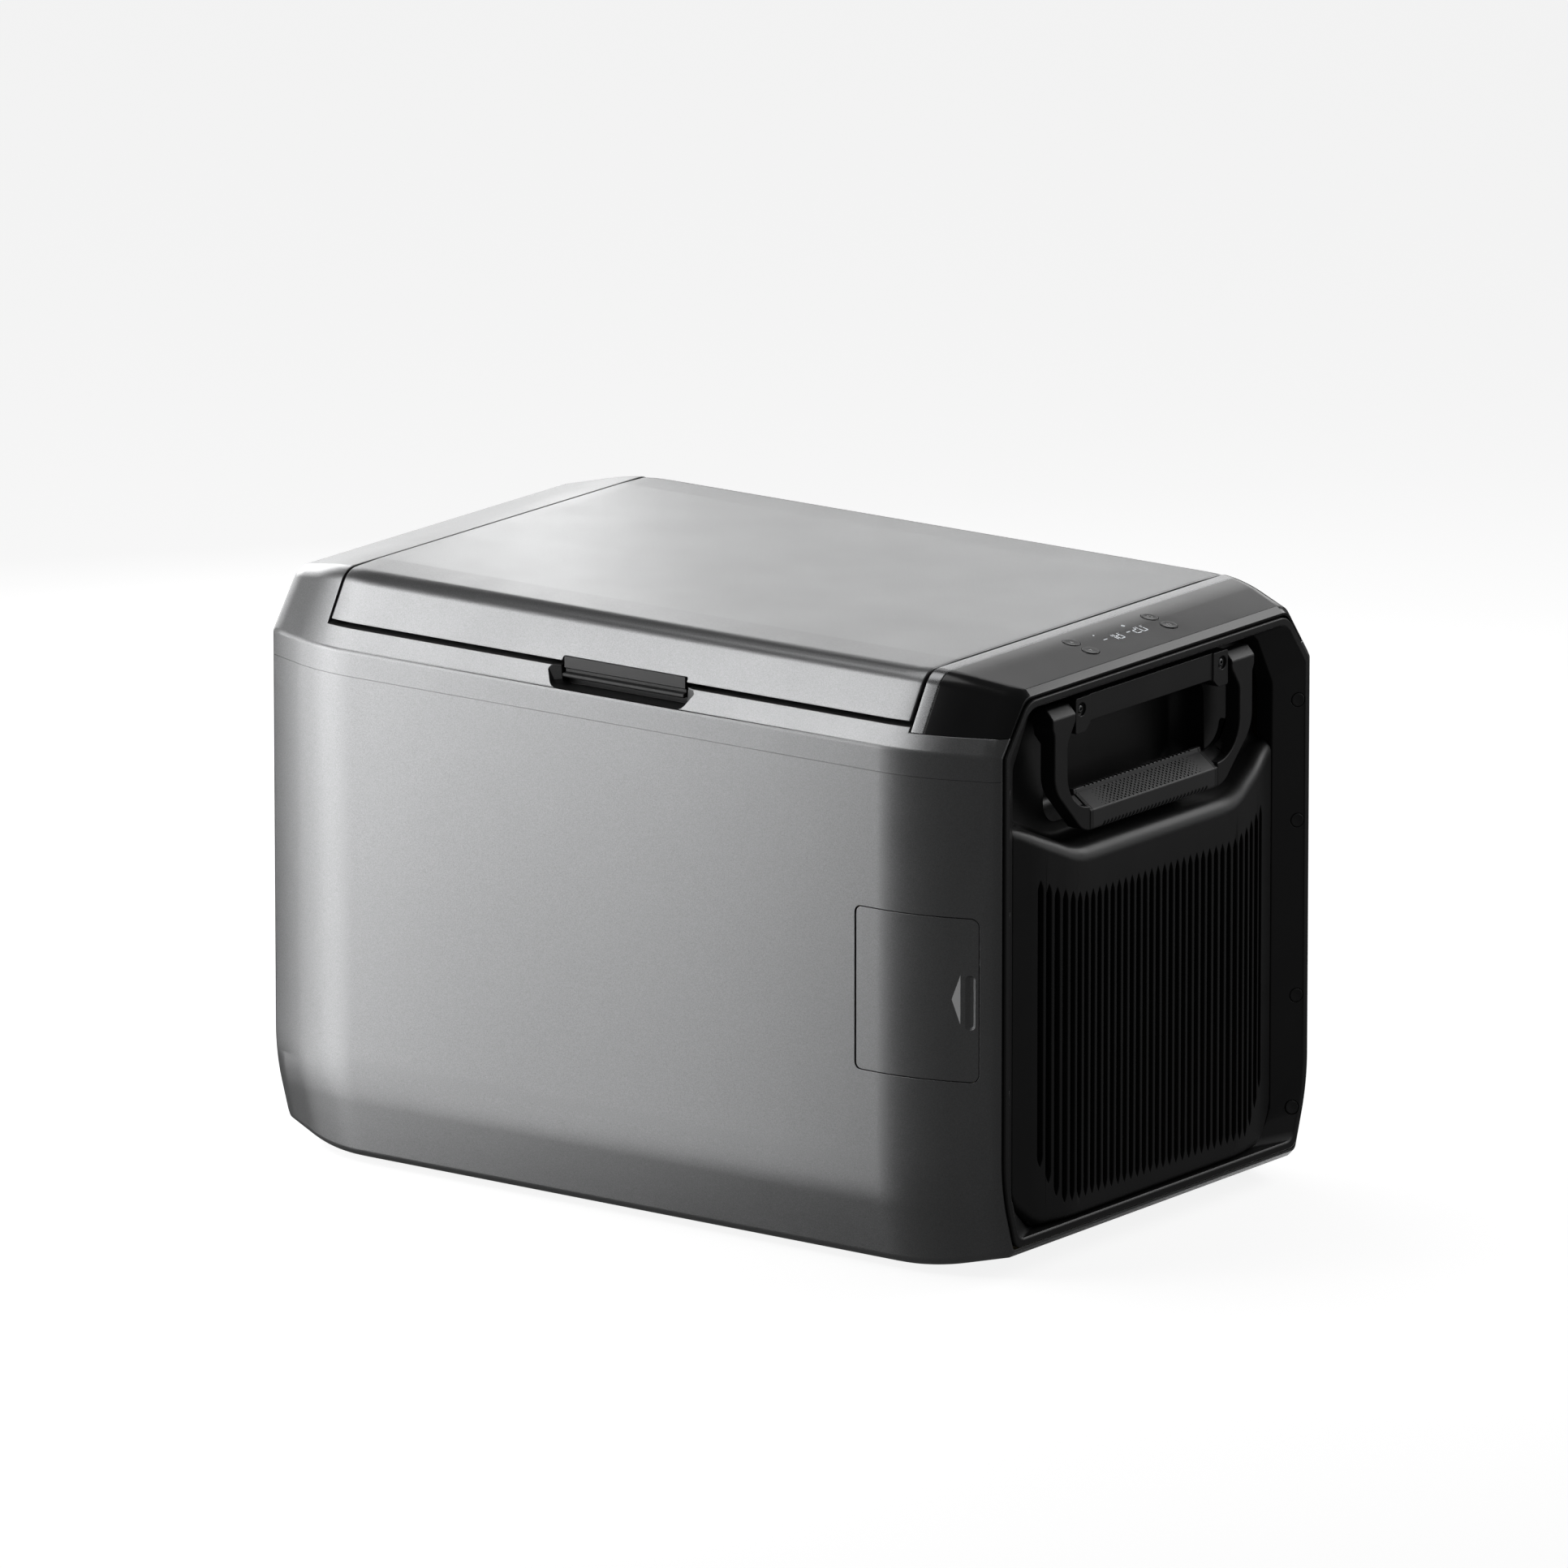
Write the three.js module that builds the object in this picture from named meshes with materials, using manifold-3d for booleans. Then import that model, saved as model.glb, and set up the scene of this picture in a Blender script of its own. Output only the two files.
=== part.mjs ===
// Portable two-zone compressor cool box, run from a plug-in battery pack.
// Millimetres, +Z up. The origin is on the floor under the middle of the box. +X points to the end with the
// controls and vents, and the front, with the lid's finger recess and the battery door, faces -Y.
import * as THREE from "three";
import { mergeVertices } from "three/addons/utils/BufferGeometryUtils.js";
import Module from "manifold-3d";

const wasm = await Module();
wasm.setup();

// ---------------------------------------------------------------- driving dimensions

const HALF_LENGTH = 349; // to the inner edge of the bevel that ends the painted body
const HALF_WIDTH = 231.5;
const TOP = 472.5;
const BOTTOM = 6; // underside of the body, above the feet
const SKIN = 3; // wall of the painted body
const BEVEL = 5;
const GAP = 0.3; // between pieces that rest on each other

// The long walls run straight, then turn inwards on an arc, then run straight at an angle to the end.
const SIDE_TAPER = { straight: 34.3, arc: 62.7, angle: THREE.MathUtils.degToRad(21) };
const DECK_TAPER = { straight: 35, arc: 50, angle: THREE.MathUtils.degToRad(12) };

// The cross-section is an eight-sided outline with rounded corners.
const LOW_CHAMFER = { width: 17.4, z: 73 };
const TOP_CHAMFER = { width: 33, z: 416 };
const CORNER_RADII = { bottom: 10, low: 110, high: 8, top: 20 };

const PART_LINE = 396; // between the tub and the rim
const RIM_TOP = 432; // the sealing face that the lid closes on
const LID_BOTTOM = 435.5;
const LID = { left: -281.7, right: 274 };
const LID_CLEARANCE = 2;
const TRIM = { from: LID.right + 3.5, to: 288 };
const PANEL_BOTTOM = 428.3;

const CAVITY = { left: -262, right: 170, halfWidth: 180, floor: 60, corner: 30 };
const LINER_WALL = 2;
const DIVIDER = { x: 20, thickness: 14, top: 404, hole: { halfWidth: 45, bottom: 365, top: 388 } };

const RECESS = { centre: 4, halfTop: 71, halfBottom: 62, depthY: -212, bottom: 417 };

const DOOR = { left: 233.2, right: 334.5, bottom: 157, top: 285, hingeCorner: 5, freeCorner: 8 };
const DOOR_PIVOT = { x: 241.5, y: -226.2 };
const DOOR_GAP = { hinge: 1.6, free: 0.9 };
const FINGER_SLOT = { left: 324, right: 331.6, bottom: 201, top: 243.5, depth: 1.6 };

const RIM_PROUD = 2.2; // how far an end frame stands out past the painted body
const FRAME_X = HALF_LENGTH + RIM_PROUD;
const FRAME_INSET = 3;
const FRAME_RIM = 6;
const FRAME_BACK = 322;
const FLANGE_FOOT_X = 336;
const BAY_X = 318; // the wall behind the carrying handle
const VENT_FACE_X = FRAME_X - 0.5;

const SLOTS = { count: 35, pitch: 8.55, width: 5.5, bottom: 47.6, top: 289, point: 9 };
const PLUG = { radius: 5.4, depth: 3, heights: [382, 286, 146] };

const HANDLE_PIVOT = { x: 336.5, z: 430 };
const HANDLE = { halfWidth: 130.5, arm: 17, depth: 20, bottom: -96, bar: 19, grip: 84 };
const TRUNNION = 3;

const HINGE = { y: 226, z: 434, radius: 5.4, pin: 2.4, places: [-185, 170] };
const HINGE_NOTCH = 423;
const DECK_TILT = THREE.MathUtils.degToRad(11);
const DECK_POINT = new THREE.Vector3(314, 0, 467.2); // middle of the button field, on the panel's face
const BUTTON = { radius: 6.8, x: 9.2, y: 51.5 };

const FAN = { x: 302, y: 60, z: 190, radius: 53 };

// ---------------------------------------------------------------- materials

function material(color, roughness, metalness = 0) {
  return new THREE.MeshStandardMaterial({ color, roughness, metalness });
}

const materials = {
  paint: material(0x9a9b9c, 0.42, 0.65),
  trim: material(0xc9cacb, 0.25, 0.9),
  gloss: material(0x0b0b0c, 0.08),
  black: material(0x1b1b1c, 0.6),
  grip: material(0x242425, 0.8),
  plug: material(0x151516, 0.7),
  rubber: material(0x101010, 0.85),
  liner: material(0xd9dadb, 0.5),
  foam: material(0xefe6c4, 0.9),
  steel: material(0x8f9194, 0.35, 1),
  cell: material(0x2b2c2e, 0.5),
  copper: material(0xb87333, 0.35, 1),
  board: material(0x1c5a34, 0.5),
};

// ---------------------------------------------------------------- outlines

const v2 = (x, y) => new THREE.Vector2(x, y);

// Moves every edge of a counter-clockwise outline inwards by d.
function inset(points, d) {
  return points.map((p, i) => {
    const before = points.at(i - 1);
    const after = points[(i + 1) % points.length];
    const a = p.clone().sub(before).normalize();
    const b = after.clone().sub(p).normalize();
    const normals = v2(-a.y - b.y, a.x + b.x);
    return p.clone().addScaledVector(normals, d / (1 + a.dot(b)));
  });
}

// Rounds each corner with an arc of its own radius, always with the same number of points.
function rounded(points, radii, steps = 3) {
  const out = [];
  points.forEach((p, i) => {
    const r = Array.isArray(radii) ? radii[i] : radii;
    const a = points.at(i - 1).clone().sub(p).normalize();
    const b = points[(i + 1) % points.length].clone().sub(p).normalize();
    const half = Math.acos(THREE.MathUtils.clamp(a.dot(b), -1, 1)) / 2;
    if (!r) {
      out.push(p.clone());
      return;
    }
    const centre = p.clone().addScaledVector(a.clone().add(b).normalize(), r / Math.sin(half));
    const from = p.clone().addScaledVector(a, r / Math.tan(half)).sub(centre);
    const turn = (Math.PI - 2 * half) * Math.sign(b.cross(a) || 1);
    for (let k = 0; k <= steps; k++) {
      out.push(from.clone().rotateAround(v2(0, 0), (turn * k) / steps).add(centre));
    }
  });
  return out;
}

// A half outline listed from bottom to top on the +y side, completed on the -y side.
function mirrored(half) {
  return [...half, ...half.map((p) => v2(-p.x, p.y)).reverse()];
}

function rectangle(x0, x1, y0, y1) {
  return [v2(x0, y0), v2(x1, y0), v2(x1, y1), v2(x0, y1)];
}

// How far a wall has moved inwards at a distance from the end of the body.
function taper({ straight, arc, angle }, distance) {
  const s = straight + arc - distance;
  if (s <= 0) return 0;
  const radius = arc / Math.sin(angle);
  if (s <= arc) return radius - Math.sqrt(radius * radius - s * s);
  return radius * (1 - Math.cos(angle)) + (s - arc) * Math.tan(angle);
}

// The body's eight corners in the (y, z) plane at one station along X.
function bodyCorners(x) {
  const distance = Math.max(HALF_LENGTH - Math.abs(x), BEVEL);
  const half = HALF_WIDTH - taper(SIDE_TAPER, distance);
  const rise = taper(DECK_TAPER, distance);
  return mirrored([
    v2(half - LOW_CHAMFER.width, BOTTOM + rise),
    v2(half, LOW_CHAMFER.z),
    v2(half, TOP_CHAMFER.z),
    v2(half - TOP_CHAMFER.width, TOP - rise),
  ]);
}

const { bottom, low, high, top } = CORNER_RADII;
const BODY_RADII = [bottom, low, high, top, top, high, low, bottom];

function bodyRing(x, d) {
  const radii = BODY_RADII.map((r) => Math.max(r - d, 1));
  return rounded(inset(bodyCorners(x), d), radii).map((p) => new THREE.Vector3(x, p.x, p.y));
}

// ---------------------------------------------------------------- solids

function solid(geometry) {
  const bare = geometry.index ? geometry.toNonIndexed() : geometry;
  bare.deleteAttribute("normal");
  bare.deleteAttribute("uv");
  const merged = mergeVertices(bare, 1e-4);
  return new wasm.Manifold(
    new wasm.Mesh({
      numProp: 3,
      vertProperties: merged.attributes.position.array,
      triVerts: new Uint32Array(merged.index.array),
    }),
  );
}

function geometryOf(shape) {
  const { vertProperties, triVerts } = shape.getMesh();
  const geometry = new THREE.BufferGeometry()
    .setAttribute("position", new THREE.BufferAttribute(vertProperties, 3))
    .setIndex(new THREE.BufferAttribute(triVerts, 1))
    .toNonIndexed();
  geometry.computeVertexNormals();
  return geometry;
}

// Skins a row of rings, which run counter-clockwise seen from their far end, and caps both ends.
function loft(rings) {
  const n = rings[0].length;
  const triangles = [];
  const put = (...corners) => corners.forEach((p) => triangles.push(p.x, p.y, p.z));
  for (let k = 1; k < rings.length; k++) {
    const [a, b] = [rings[k - 1], rings[k]];
    for (let i = 0; i < n; i++) {
      const j = (i + 1) % n;
      put(a[i], a[j], b[j]);
      put(a[i], b[j], b[i]);
    }
  }
  const [first, last] = [rings[0], rings.at(-1)];
  for (let i = 1; i < n - 1; i++) {
    put(first[0], first[i + 1], first[i]);
    put(last[0], last[i], last[i + 1]);
  }
  const geometry = new THREE.BufferGeometry();
  geometry.setAttribute("position", new THREE.Float32BufferAttribute(triangles, 3));
  return solid(geometry);
}

const STATIONS = [252, 272, 289, 304, 315, HALF_LENGTH - BEVEL];

function bothWays(distances) {
  return [...distances.map((x) => -x).reverse(), ...distances];
}

// The painted body's outer form, moved inwards by d. A cutter also runs out through both ends.
function bodyForm(d = 0) {
  return loft(
    bothWays([...STATIONS, HALF_LENGTH]).map((x) => {
      const atEnd = Math.abs(x) === HALF_LENGTH;
      return bodyRing(x, d + (atEnd ? BEVEL : 0));
    }),
  );
}

function bodyCutter(d, lip = 2) {
  return loft(
    bothWays([...STATIONS, HALF_LENGTH, HALF_LENGTH + 20]).map((x) => {
      const atEnd = Math.abs(x) >= HALF_LENGTH;
      return bodyRing(x, atEnd ? BEVEL + lip : d);
    }),
  );
}

function box(x0, x1, y0, y1, z0, z1) {
  const geometry = new THREE.BoxGeometry(x1 - x0, y1 - y0, z1 - z0);
  return solid(geometry.translate((x0 + x1) / 2, (y0 + y1) / 2, (z0 + z1) / 2));
}

// Extrudes an outline along one axis: "x" takes (y, z) points, "y" takes (x, z) and "z" takes (x, y).
function prism(axis, points, from, to) {
  const shape = new THREE.Shape(points);
  const geometry = new THREE.ExtrudeGeometry(shape, { depth: to - from, bevelEnabled: false });
  const [X, Y, Z] = [v3(1, 0, 0), v3(0, 1, 0), v3(0, 0, 1)];
  const turn = {
    x: new THREE.Matrix4().makeBasis(Y, Z, X).setPosition(from, 0, 0),
    y: new THREE.Matrix4().makeBasis(X, Z, v3(0, -1, 0)).setPosition(0, to, 0),
    z: new THREE.Matrix4().setPosition(0, 0, from),
  }[axis];
  return solid(geometry.applyMatrix4(turn));
}

function v3(x, y, z) {
  return new THREE.Vector3(x, y, z);
}

// A round rod between two points.
function rod(radius, from, to, segments = 20, endRadius = radius) {
  const length = from.distanceTo(to);
  const geometry = new THREE.CylinderGeometry(endRadius, radius, length, segments);
  const turn = new THREE.Quaternion().setFromUnitVectors(v3(0, 1, 0), to.clone().sub(from).normalize());
  const middle = from.clone().add(to).multiplyScalar(0.5);
  geometry.applyQuaternion(turn).translate(middle.x, middle.y, middle.z);
  return solid(geometry);
}

function joined(...shapes) {
  return shapes.flat().reduce((a, b) => a.add(b));
}

function cut(shape, ...cutters) {
  return cutters.flat().reduce((a, b) => a.subtract(b), shape);
}

function piece(name, shape, look, parent) {
  const mesh = new THREE.Mesh(geometryOf(shape), materials[look]);
  mesh.name = name;
  parent.add(mesh);
  return mesh;
}

function group(parent, x = 0, y = 0, z = 0) {
  const made = new THREE.Group();
  made.position.set(x, y, z);
  parent.add(made);
  return made;
}

// ---------------------------------------------------------------- painted body

const FAR = 400;
const above = (z) => box(-FAR, FAR, -FAR, FAR, z, z + FAR);
const below = (z) => box(-FAR, FAR, -FAR, FAR, z - 2 * FAR, z);
const slab = (z0, z1) => box(-FAR, FAR, -FAR, FAR, z0, z1);
const between = (x0, x1) => box(x0, x1, -FAR, FAR, -10, 2 * FAR);

const outer = bodyForm();
const wall = outer.subtract(bodyCutter(SKIN));

// The door's outline, or with a gap round it the opening that the door closes.
function doorOutline({ hinge, free }) {
  const { left, right, bottom: z0, top: z1, hingeCorner, freeCorner } = DOOR;
  const sides = rectangle(left - hinge, right + free, z0 - free, z1 + free);
  return rounded(sides, [hingeCorner + free, freeCorner + free, freeCorner + free, hingeCorner + free]);
}

function lowerShell() {
  const opening = prism("y", doorOutline(DOOR_GAP), -FAR, -150);
  const inlet = box(INLET.left, INLET.right, 150, FAR, INLET.bottom, INLET.top);
  return cut(wall.intersect(below(PART_LINE)), opening, inlet);
}

function cavityOutline(grow) {
  const { left, right, halfWidth, corner } = CAVITY;
  const sides = rectangle(left - grow, right + grow, -halfWidth - grow, halfWidth + grow);
  return rounded(sides, corner + grow, 4);
}

function recessOutline(zTop) {
  const { centre, halfTop, halfBottom } = RECESS;
  return [
    v2(centre - halfBottom, RECESS.bottom),
    v2(centre + halfBottom, RECESS.bottom),
    v2(centre + halfTop, RIM_TOP),
    v2(centre + halfBottom, zTop),
    v2(centre - halfBottom, zTop),
    v2(centre - halfTop, RIM_TOP),
  ];
}

function fingerRecess() {
  return prism("y", recessOutline(LID_BOTTOM + 6), -FAR, RECESS.depthY);
}

function recessBlock(z0, z1) {
  const { centre, halfTop } = RECESS;
  return box(centre - halfTop - 6, centre + halfTop + 6, -FAR, RECESS.depthY + 5, z0, z1);
}

function hingeNotches(z0, z1) {
  return HINGE.places.map((x) => box(x - 27, x + 27, 213, FAR, z0, z1));
}

// The deck that carries the control panel: its end wall, its floor and the window under the read-outs.
const DECK = { end: 334, skin: 3, lightHalfWidth: 198, window: { left: 292, right: 330, halfWidth: 74 } };
const RIM_WALL = 4;

function upperRim() {
  const core = bodyForm(0.5);
  const under = bodyForm(SKIN + GAP);
  const lidPlace = between(LID.left - LID_CLEARANCE, LID.right + LID_CLEARANCE).intersect(above(RIM_TOP));
  const panelPlace = between(LID.right + LID_CLEARANCE, FAR).intersect(above(PANEL_BOTTOM - GAP));
  const skin = cut(wall.intersect(above(PART_LINE + GAP)), lidPlace, panelPlace);
  const leftEdge = LID.left - RIM_WALL - 1;
  const rightEdge = TRIM.from - 2;
  const sealSlab = slab(RIM_TOP - RIM_WALL, RIM_TOP);
  const sealFace = core.intersect(sealSlab).intersect(between(leftEdge, rightEdge));
  const leftSide = between(leftEdge, LID.left - LID_CLEARANCE);
  const leftWall = core.intersect(leftSide).intersect(above(RIM_TOP - RIM_WALL));
  const rightSide = between(rightEdge, TRIM.from + 1);
  const rightWall = under.intersect(rightSide).intersect(above(PANEL_BOTTOM - RIM_WALL));
  const ledgeSlab = slab(PANEL_BOTTOM - RIM_WALL, PANEL_BOTTOM - GAP);
  const ledge = core.intersect(ledgeSlab).intersect(between(TRIM.from - RIM_WALL, DECK.end));
  const half = DECK.lightHalfWidth;
  const ledgeHole = box(TRIM.from + 1, DECK.end + 6, -half, half, PART_LINE, PANEL_BOTTOM + 10);
  const subDeck = under.subtract(bodyForm(SKIN + DECK.skin)).intersect(between(TRIM.from, DECK.end));
  const { left, right, halfWidth } = DECK.window;
  const deckWindow = box(left, right, -halfWidth, halfWidth, PANEL_BOTTOM + 10, FAR + 100);
  const frame = joined(
    skin,
    sealFace,
    leftWall,
    rightWall,
    ledge.subtract(ledgeHole),
    subDeck.intersect(above(PANEL_BOTTOM - RIM_WALL)),
    core.intersect(recessBlock(RECESS.bottom - 5, RIM_TOP)),
  );
  const mouth = prism("z", cavityOutline(0), PART_LINE, PANEL_BOTTOM + 10);
  return cut(frame, mouth, deckWindow, fingerRecess(), hingeNotches(HINGE_NOTCH, RIM_TOP + 1));
}

// ---------------------------------------------------------------- inside the tub

function liner() {
  const tub = prism("z", cavityOutline(LINER_WALL), CAVITY.floor - LINER_WALL, RIM_TOP - 4 - GAP);
  return tub.subtract(prism("z", cavityOutline(0), CAVITY.floor, RIM_TOP));
}

function divider() {
  const { x, thickness, top: z1, hole } = DIVIDER;
  const half = CAVITY.halfWidth - 0.8;
  const plate = box(x - thickness / 2, x + thickness / 2, -half, half, CAVITY.floor + GAP, z1);
  const outline = rounded(rectangle(-hole.halfWidth, hole.halfWidth, hole.bottom, hole.top), 11, 4);
  return plate.subtract(prism("x", outline, x - thickness, x + thickness));
}

const EVAPORATOR = { bottom: 170, top: 330, wall: 2.6 };

function evaporator() {
  const { bottom: z0, top: z1, wall: t } = EVAPORATOR;
  const sleeve = (grow, extra) => prism("z", cavityOutline(LINER_WALL + grow), z0 - extra, z1 + extra);
  return sleeve(t, 0).subtract(sleeve(GAP, 10));
}

const FOAM = { left: -298, right: 216 };

function insulation() {
  const place = between(FOAM.left, FOAM.right).intersect(below(RIM_TOP - RIM_WALL - 2 * GAP));
  const room = prism("z", cavityOutline(LINER_WALL + 3), CAVITY.floor - 3, RIM_TOP);
  const recess = recessBlock(RECESS.bottom - 6, RIM_TOP);
  return cut(bodyForm(SKIN + 2 * GAP).intersect(place), room, recess, hingeNotches(HINGE_NOTCH - 8, RIM_TOP));
}

const FOOT = { x: 245, y: 165, radius: 15, topRadius: 18 };

function foot(x, y) {
  return rod(FOOT.radius, v3(x, y, 0), v3(x, y, BOTTOM - GAP), 24, FOOT.topRadius);
}

// ---------------------------------------------------------------- ends

// The outline of an end frame, from the bevel's inner edge inwards.
function endOutline(d) {
  return inset(bodyCorners(HALF_LENGTH), BEVEL + d);
}

// Where the frame's sloping flange meets the panel.
const FLANGE_FOOT = mirrored([v2(152, 32), v2(171.3, 84), v2(171.3, 398), v2(148, 441)]);

function endRing(d, x) {
  return rounded(endOutline(d), BODY_RADII).map((p) => v3(x, p.x, p.y));
}

function footRing(x) {
  return rounded(FLANGE_FOOT, 12).map((p) => v3(x, p.x, p.y));
}

function plugPlaces() {
  const slope = v2(195 - 171.3, FRAME_X - FLANGE_FOOT_X).normalize();
  const places = [];
  for (const side of [-1, 1]) {
    for (const z of PLUG.heights) {
      places.push({ at: v3(FRAME_X - 3.4, side * 190, z), out: v3(slope.x, -side * slope.y, 0) });
    }
    const out = v3(slope.x, -side * slope.y, 0.17).normalize();
    places.push({ at: v3(FRAME_X - 3.4, side * 185, 57), out });
  }
  return places;
}

function plug({ at, out }, radius = PLUG.radius, from = -PLUG.depth, to = 0) {
  const along = (d) => at.clone().addScaledVector(out, d);
  return rod(radius, along(from), along(to), 14);
}

function endFrame(plugs) {
  const block = loft([endRing(FRAME_INSET, FRAME_BACK), endRing(FRAME_INSET, FRAME_X)]);
  const rim = FRAME_INSET + FRAME_RIM;
  const hollow = loft([
    footRing(FRAME_BACK - 5),
    footRing(FLANGE_FOOT_X),
    endRing(rim, FRAME_X),
    endRing(rim, FRAME_X + 5),
  ]);
  return cut(block, hollow, plugs.map((p) => plug(p, PLUG.radius + GAP, -PLUG.depth - GAP, 12)));
}

// The raised middle of an end: its plan outline, and the cradle-shaped edge under the handle.
function raisedPanel(d, z0, z1) {
  const x = VENT_FACE_X - d;
  const half = [v2(x, 112), v2(x - 6.2, 146.4), v2(FLANGE_FOOT_X - d, 171 - d), v2(BAY_X - 4, 171 - d)];
  const plan = [...half, ...half.map((p) => v2(p.x, -p.y)).reverse()];
  return prism("z", plan, z0, z1);
}

const CRADLE = mirrored([v2(153, 32), v2(171, 84), v2(171, 353), v2(166, 353), v2(101, 324)]);

function slotCutter(index) {
  const y = (index - (SLOTS.count - 1) / 2) * SLOTS.pitch;
  const beyond = (start) => Math.max(Math.abs(y) - start, 0);
  const z0 = SLOTS.bottom + 34 * (beyond(121) / 25) ** 1.3;
  const z1 = SLOTS.top + 18 * (beyond(95) / 51) ** 1.5;
  const half = SLOTS.width / 2;
  const outline = [
    v2(y, z0),
    v2(y + half, z0 + SLOTS.point),
    v2(y + half, z1 - SLOTS.point),
    v2(y, z1),
    v2(y - half, z1 - SLOTS.point),
    v2(y - half, z0 + SLOTS.point),
  ];
  return prism("x", outline, FRAME_BACK + 3, FRAME_X + 5);
}

function endPanel({ pocketX, slotted }) {
  const cradle = prism("x", rounded(CRADLE, 2), BAY_X - 4, FRAME_X);
  const raised = raisedPanel(0, 32, 353).intersect(cradle);
  const footprint = prism("x", inset(rounded(FLANGE_FOOT, 12), GAP), BAY_X - 30, FRAME_X);
  const back = prism("x", FLANGE_FOOT, BAY_X - 4, BAY_X);
  const hollow = raisedPanel(6, 38, 312);
  const pocket = prism("x", rounded(rectangle(-100, 100, 338, 415), 14), pocketX, FRAME_X);
  const pocketWall = prism("x", rounded(rectangle(-102.5, 102.5, 335.5, 417.5), 16), pocketX - 2.5, BAY_X);
  const slots = Array.from({ length: slotted ? SLOTS.count : 0 }, (_, i) => slotCutter(i));
  const behind = box(BAY_X - 10, BAY_X + 1, -150, 150, 44, 310);
  return cut(joined(raised, back, pocketWall).intersect(footprint), hollow, pocket, behind, slots);
}

// Everything about a handle is drawn from its pivot.
function handle() {
  const { halfWidth, arm, depth, bottom: low, bar, grip } = HANDLE;
  const inner = halfWidth - arm;
  const outline = rounded(
    [
      v2(-halfWidth, -2),
      v2(-halfWidth, low + 40),
      v2(-halfWidth + 38.5, low),
      v2(halfWidth - 38.5, low),
      v2(halfWidth, low + 40),
      v2(halfWidth, -2),
      v2(inner, -2),
      v2(inner, low + bar),
      v2(-inner, low + bar),
      v2(-inner, -2),
    ],
    [0, 28, 28, 28, 28, 0, 0, 30, 30, 0],
  );
  const bow = prism("x", outline, -depth / 2, depth / 2);
  const head = [v2(-8, -6), v2(9.5, -6), v2(9.5, 1), v2(4, 7), v2(-4, 7), v2(-8, 3)];
  const heads = [-1, 1].map((side) => {
    const ends = [side * 103, side * 133].sort((a, b) => a - b);
    return prism("y", head, ...ends);
  });
  const bore = rod(TRUNNION + 0.4, v3(0, -140, 0), v3(0, 140, 0), 24);
  const seat = box(-20, 20, -grip, grip, low + bar - 4.3, low + bar + 1);
  return cut(joined(bow, heads), bore, seat);
}

function gripPad() {
  const { bottom: low, bar, grip, depth } = HANDLE;
  const top = low + bar;
  const section = [
    v2(-depth / 2, top - 4),
    v2(depth / 2 - 1, top - 4),
    v2(depth / 2 - 1, top - 1),
    v2(2, top + 1),
    v2(-depth / 2, top + 2),
  ];
  return prism("y", section, -grip + GAP, grip - GAP);
}

const BRACKET = { face: 8, barBack: -9, barBottom: -11, lugBottom: -18, top: 10, lugIn: 78, lugOut: 100.5 };
const SCREW = { y: 92.7, z: 0.5, radius: 3.3, socket: 1.5, back: -5.6 };

function handleBracket() {
  const { face, barBack, barBottom, lugBottom, top: crest, lugIn, lugOut } = BRACKET;
  const reach = BAY_X + GAP - HANDLE_PIVOT.x;
  const bar = box(barBack, face, -lugIn - 2, lugIn + 2, barBottom, crest);
  const lugs = [-1, 1].map((side) => {
    const ends = [side * lugIn, side * lugOut].sort((a, b) => a - b);
    return box(reach, face, ...ends, lugBottom, crest);
  });
  const end = HANDLE.halfWidth + 0.5;
  const trunnions = rod(TRUNNION, v3(0, -end, 0), v3(0, end, 0), 24);
  const { y, z, radius, back } = SCREW;
  const hole = (side) => rod(radius + GAP, v3(back - GAP, side * y, z), v3(face + 4, side * y, z));
  return cut(joined(bar, lugs, trunnions), hole(-1), hole(1));
}

function bracketScrew(side) {
  const { y, z, radius, socket, back } = SCREW;
  const front = BRACKET.face - 0.8;
  const head = rod(radius, v3(back, side * y, z), v3(front, side * y, z));
  return head.subtract(rod(socket, v3(front - 2, side * y, z), v3(front + 2, side * y, z), 6));
}

// Both ends are drawn facing +X, and the left one is turned round.
function endAssembly(side, { turned, pocketX, slotted }) {
  const end = group(root);
  end.rotation.z = turned ? Math.PI : 0;
  const front = turned ? 1 : -1;
  const plugs = slotted ? plugPlaces() : [];
  piece(side + "_end_frame", endFrame(plugs), "black", end);
  plugs.forEach((place, i) => piece(side + "_screw_plug_" + (i + 1), plug(place), "plug", end));
  piece(slotted ? "vent_panel" : side + "_end_panel", endPanel({ pocketX, slotted }), "black", end);
  const pivot = group(end, HANDLE_PIVOT.x, 0, HANDLE_PIVOT.z);
  piece(side + "_handle_bracket", handleBracket(), "black", pivot);
  piece(side + "_bracket_screw_front", bracketScrew(front), "steel", pivot);
  piece(side + "_bracket_screw_rear", bracketScrew(-front), "steel", pivot);
  piece(side + "_handle", handle(), "black", pivot);
  piece(side + "_grip", gripPad(), "grip", pivot);
}

// ---------------------------------------------------------------- control deck

function deckTrim() {
  return wall.intersect(between(TRIM.from, TRIM.to - GAP)).intersect(above(PANEL_BOTTOM));
}

function onDeck(parent) {
  const deck = group(parent, DECK_POINT.x, DECK_POINT.y, DECK_POINT.z);
  deck.rotation.y = DECK_TILT;
  return deck;
}

function controlPanel() {
  const holes = buttonPlaces().map(({ x, y }) => {
    const from = v3(x, y, -8);
    const to = v3(x, y, 8);
    const turn = (p) => p.applyAxisAngle(v3(0, 1, 0), DECK_TILT).add(DECK_POINT);
    return rod(BUTTON.radius + 0.5, turn(from), turn(to), 24);
  });
  return cut(wall.intersect(between(TRIM.to, FAR)).intersect(above(PANEL_BOTTOM)), holes);
}

function buttonPlaces() {
  const { x, y } = BUTTON;
  return [
    { name: "button_up", x: -x, y: -y },
    { name: "button_down", x, y: -y },
    { name: "button_power", x: -x, y },
    { name: "button_set", x, y },
  ];
}

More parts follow.
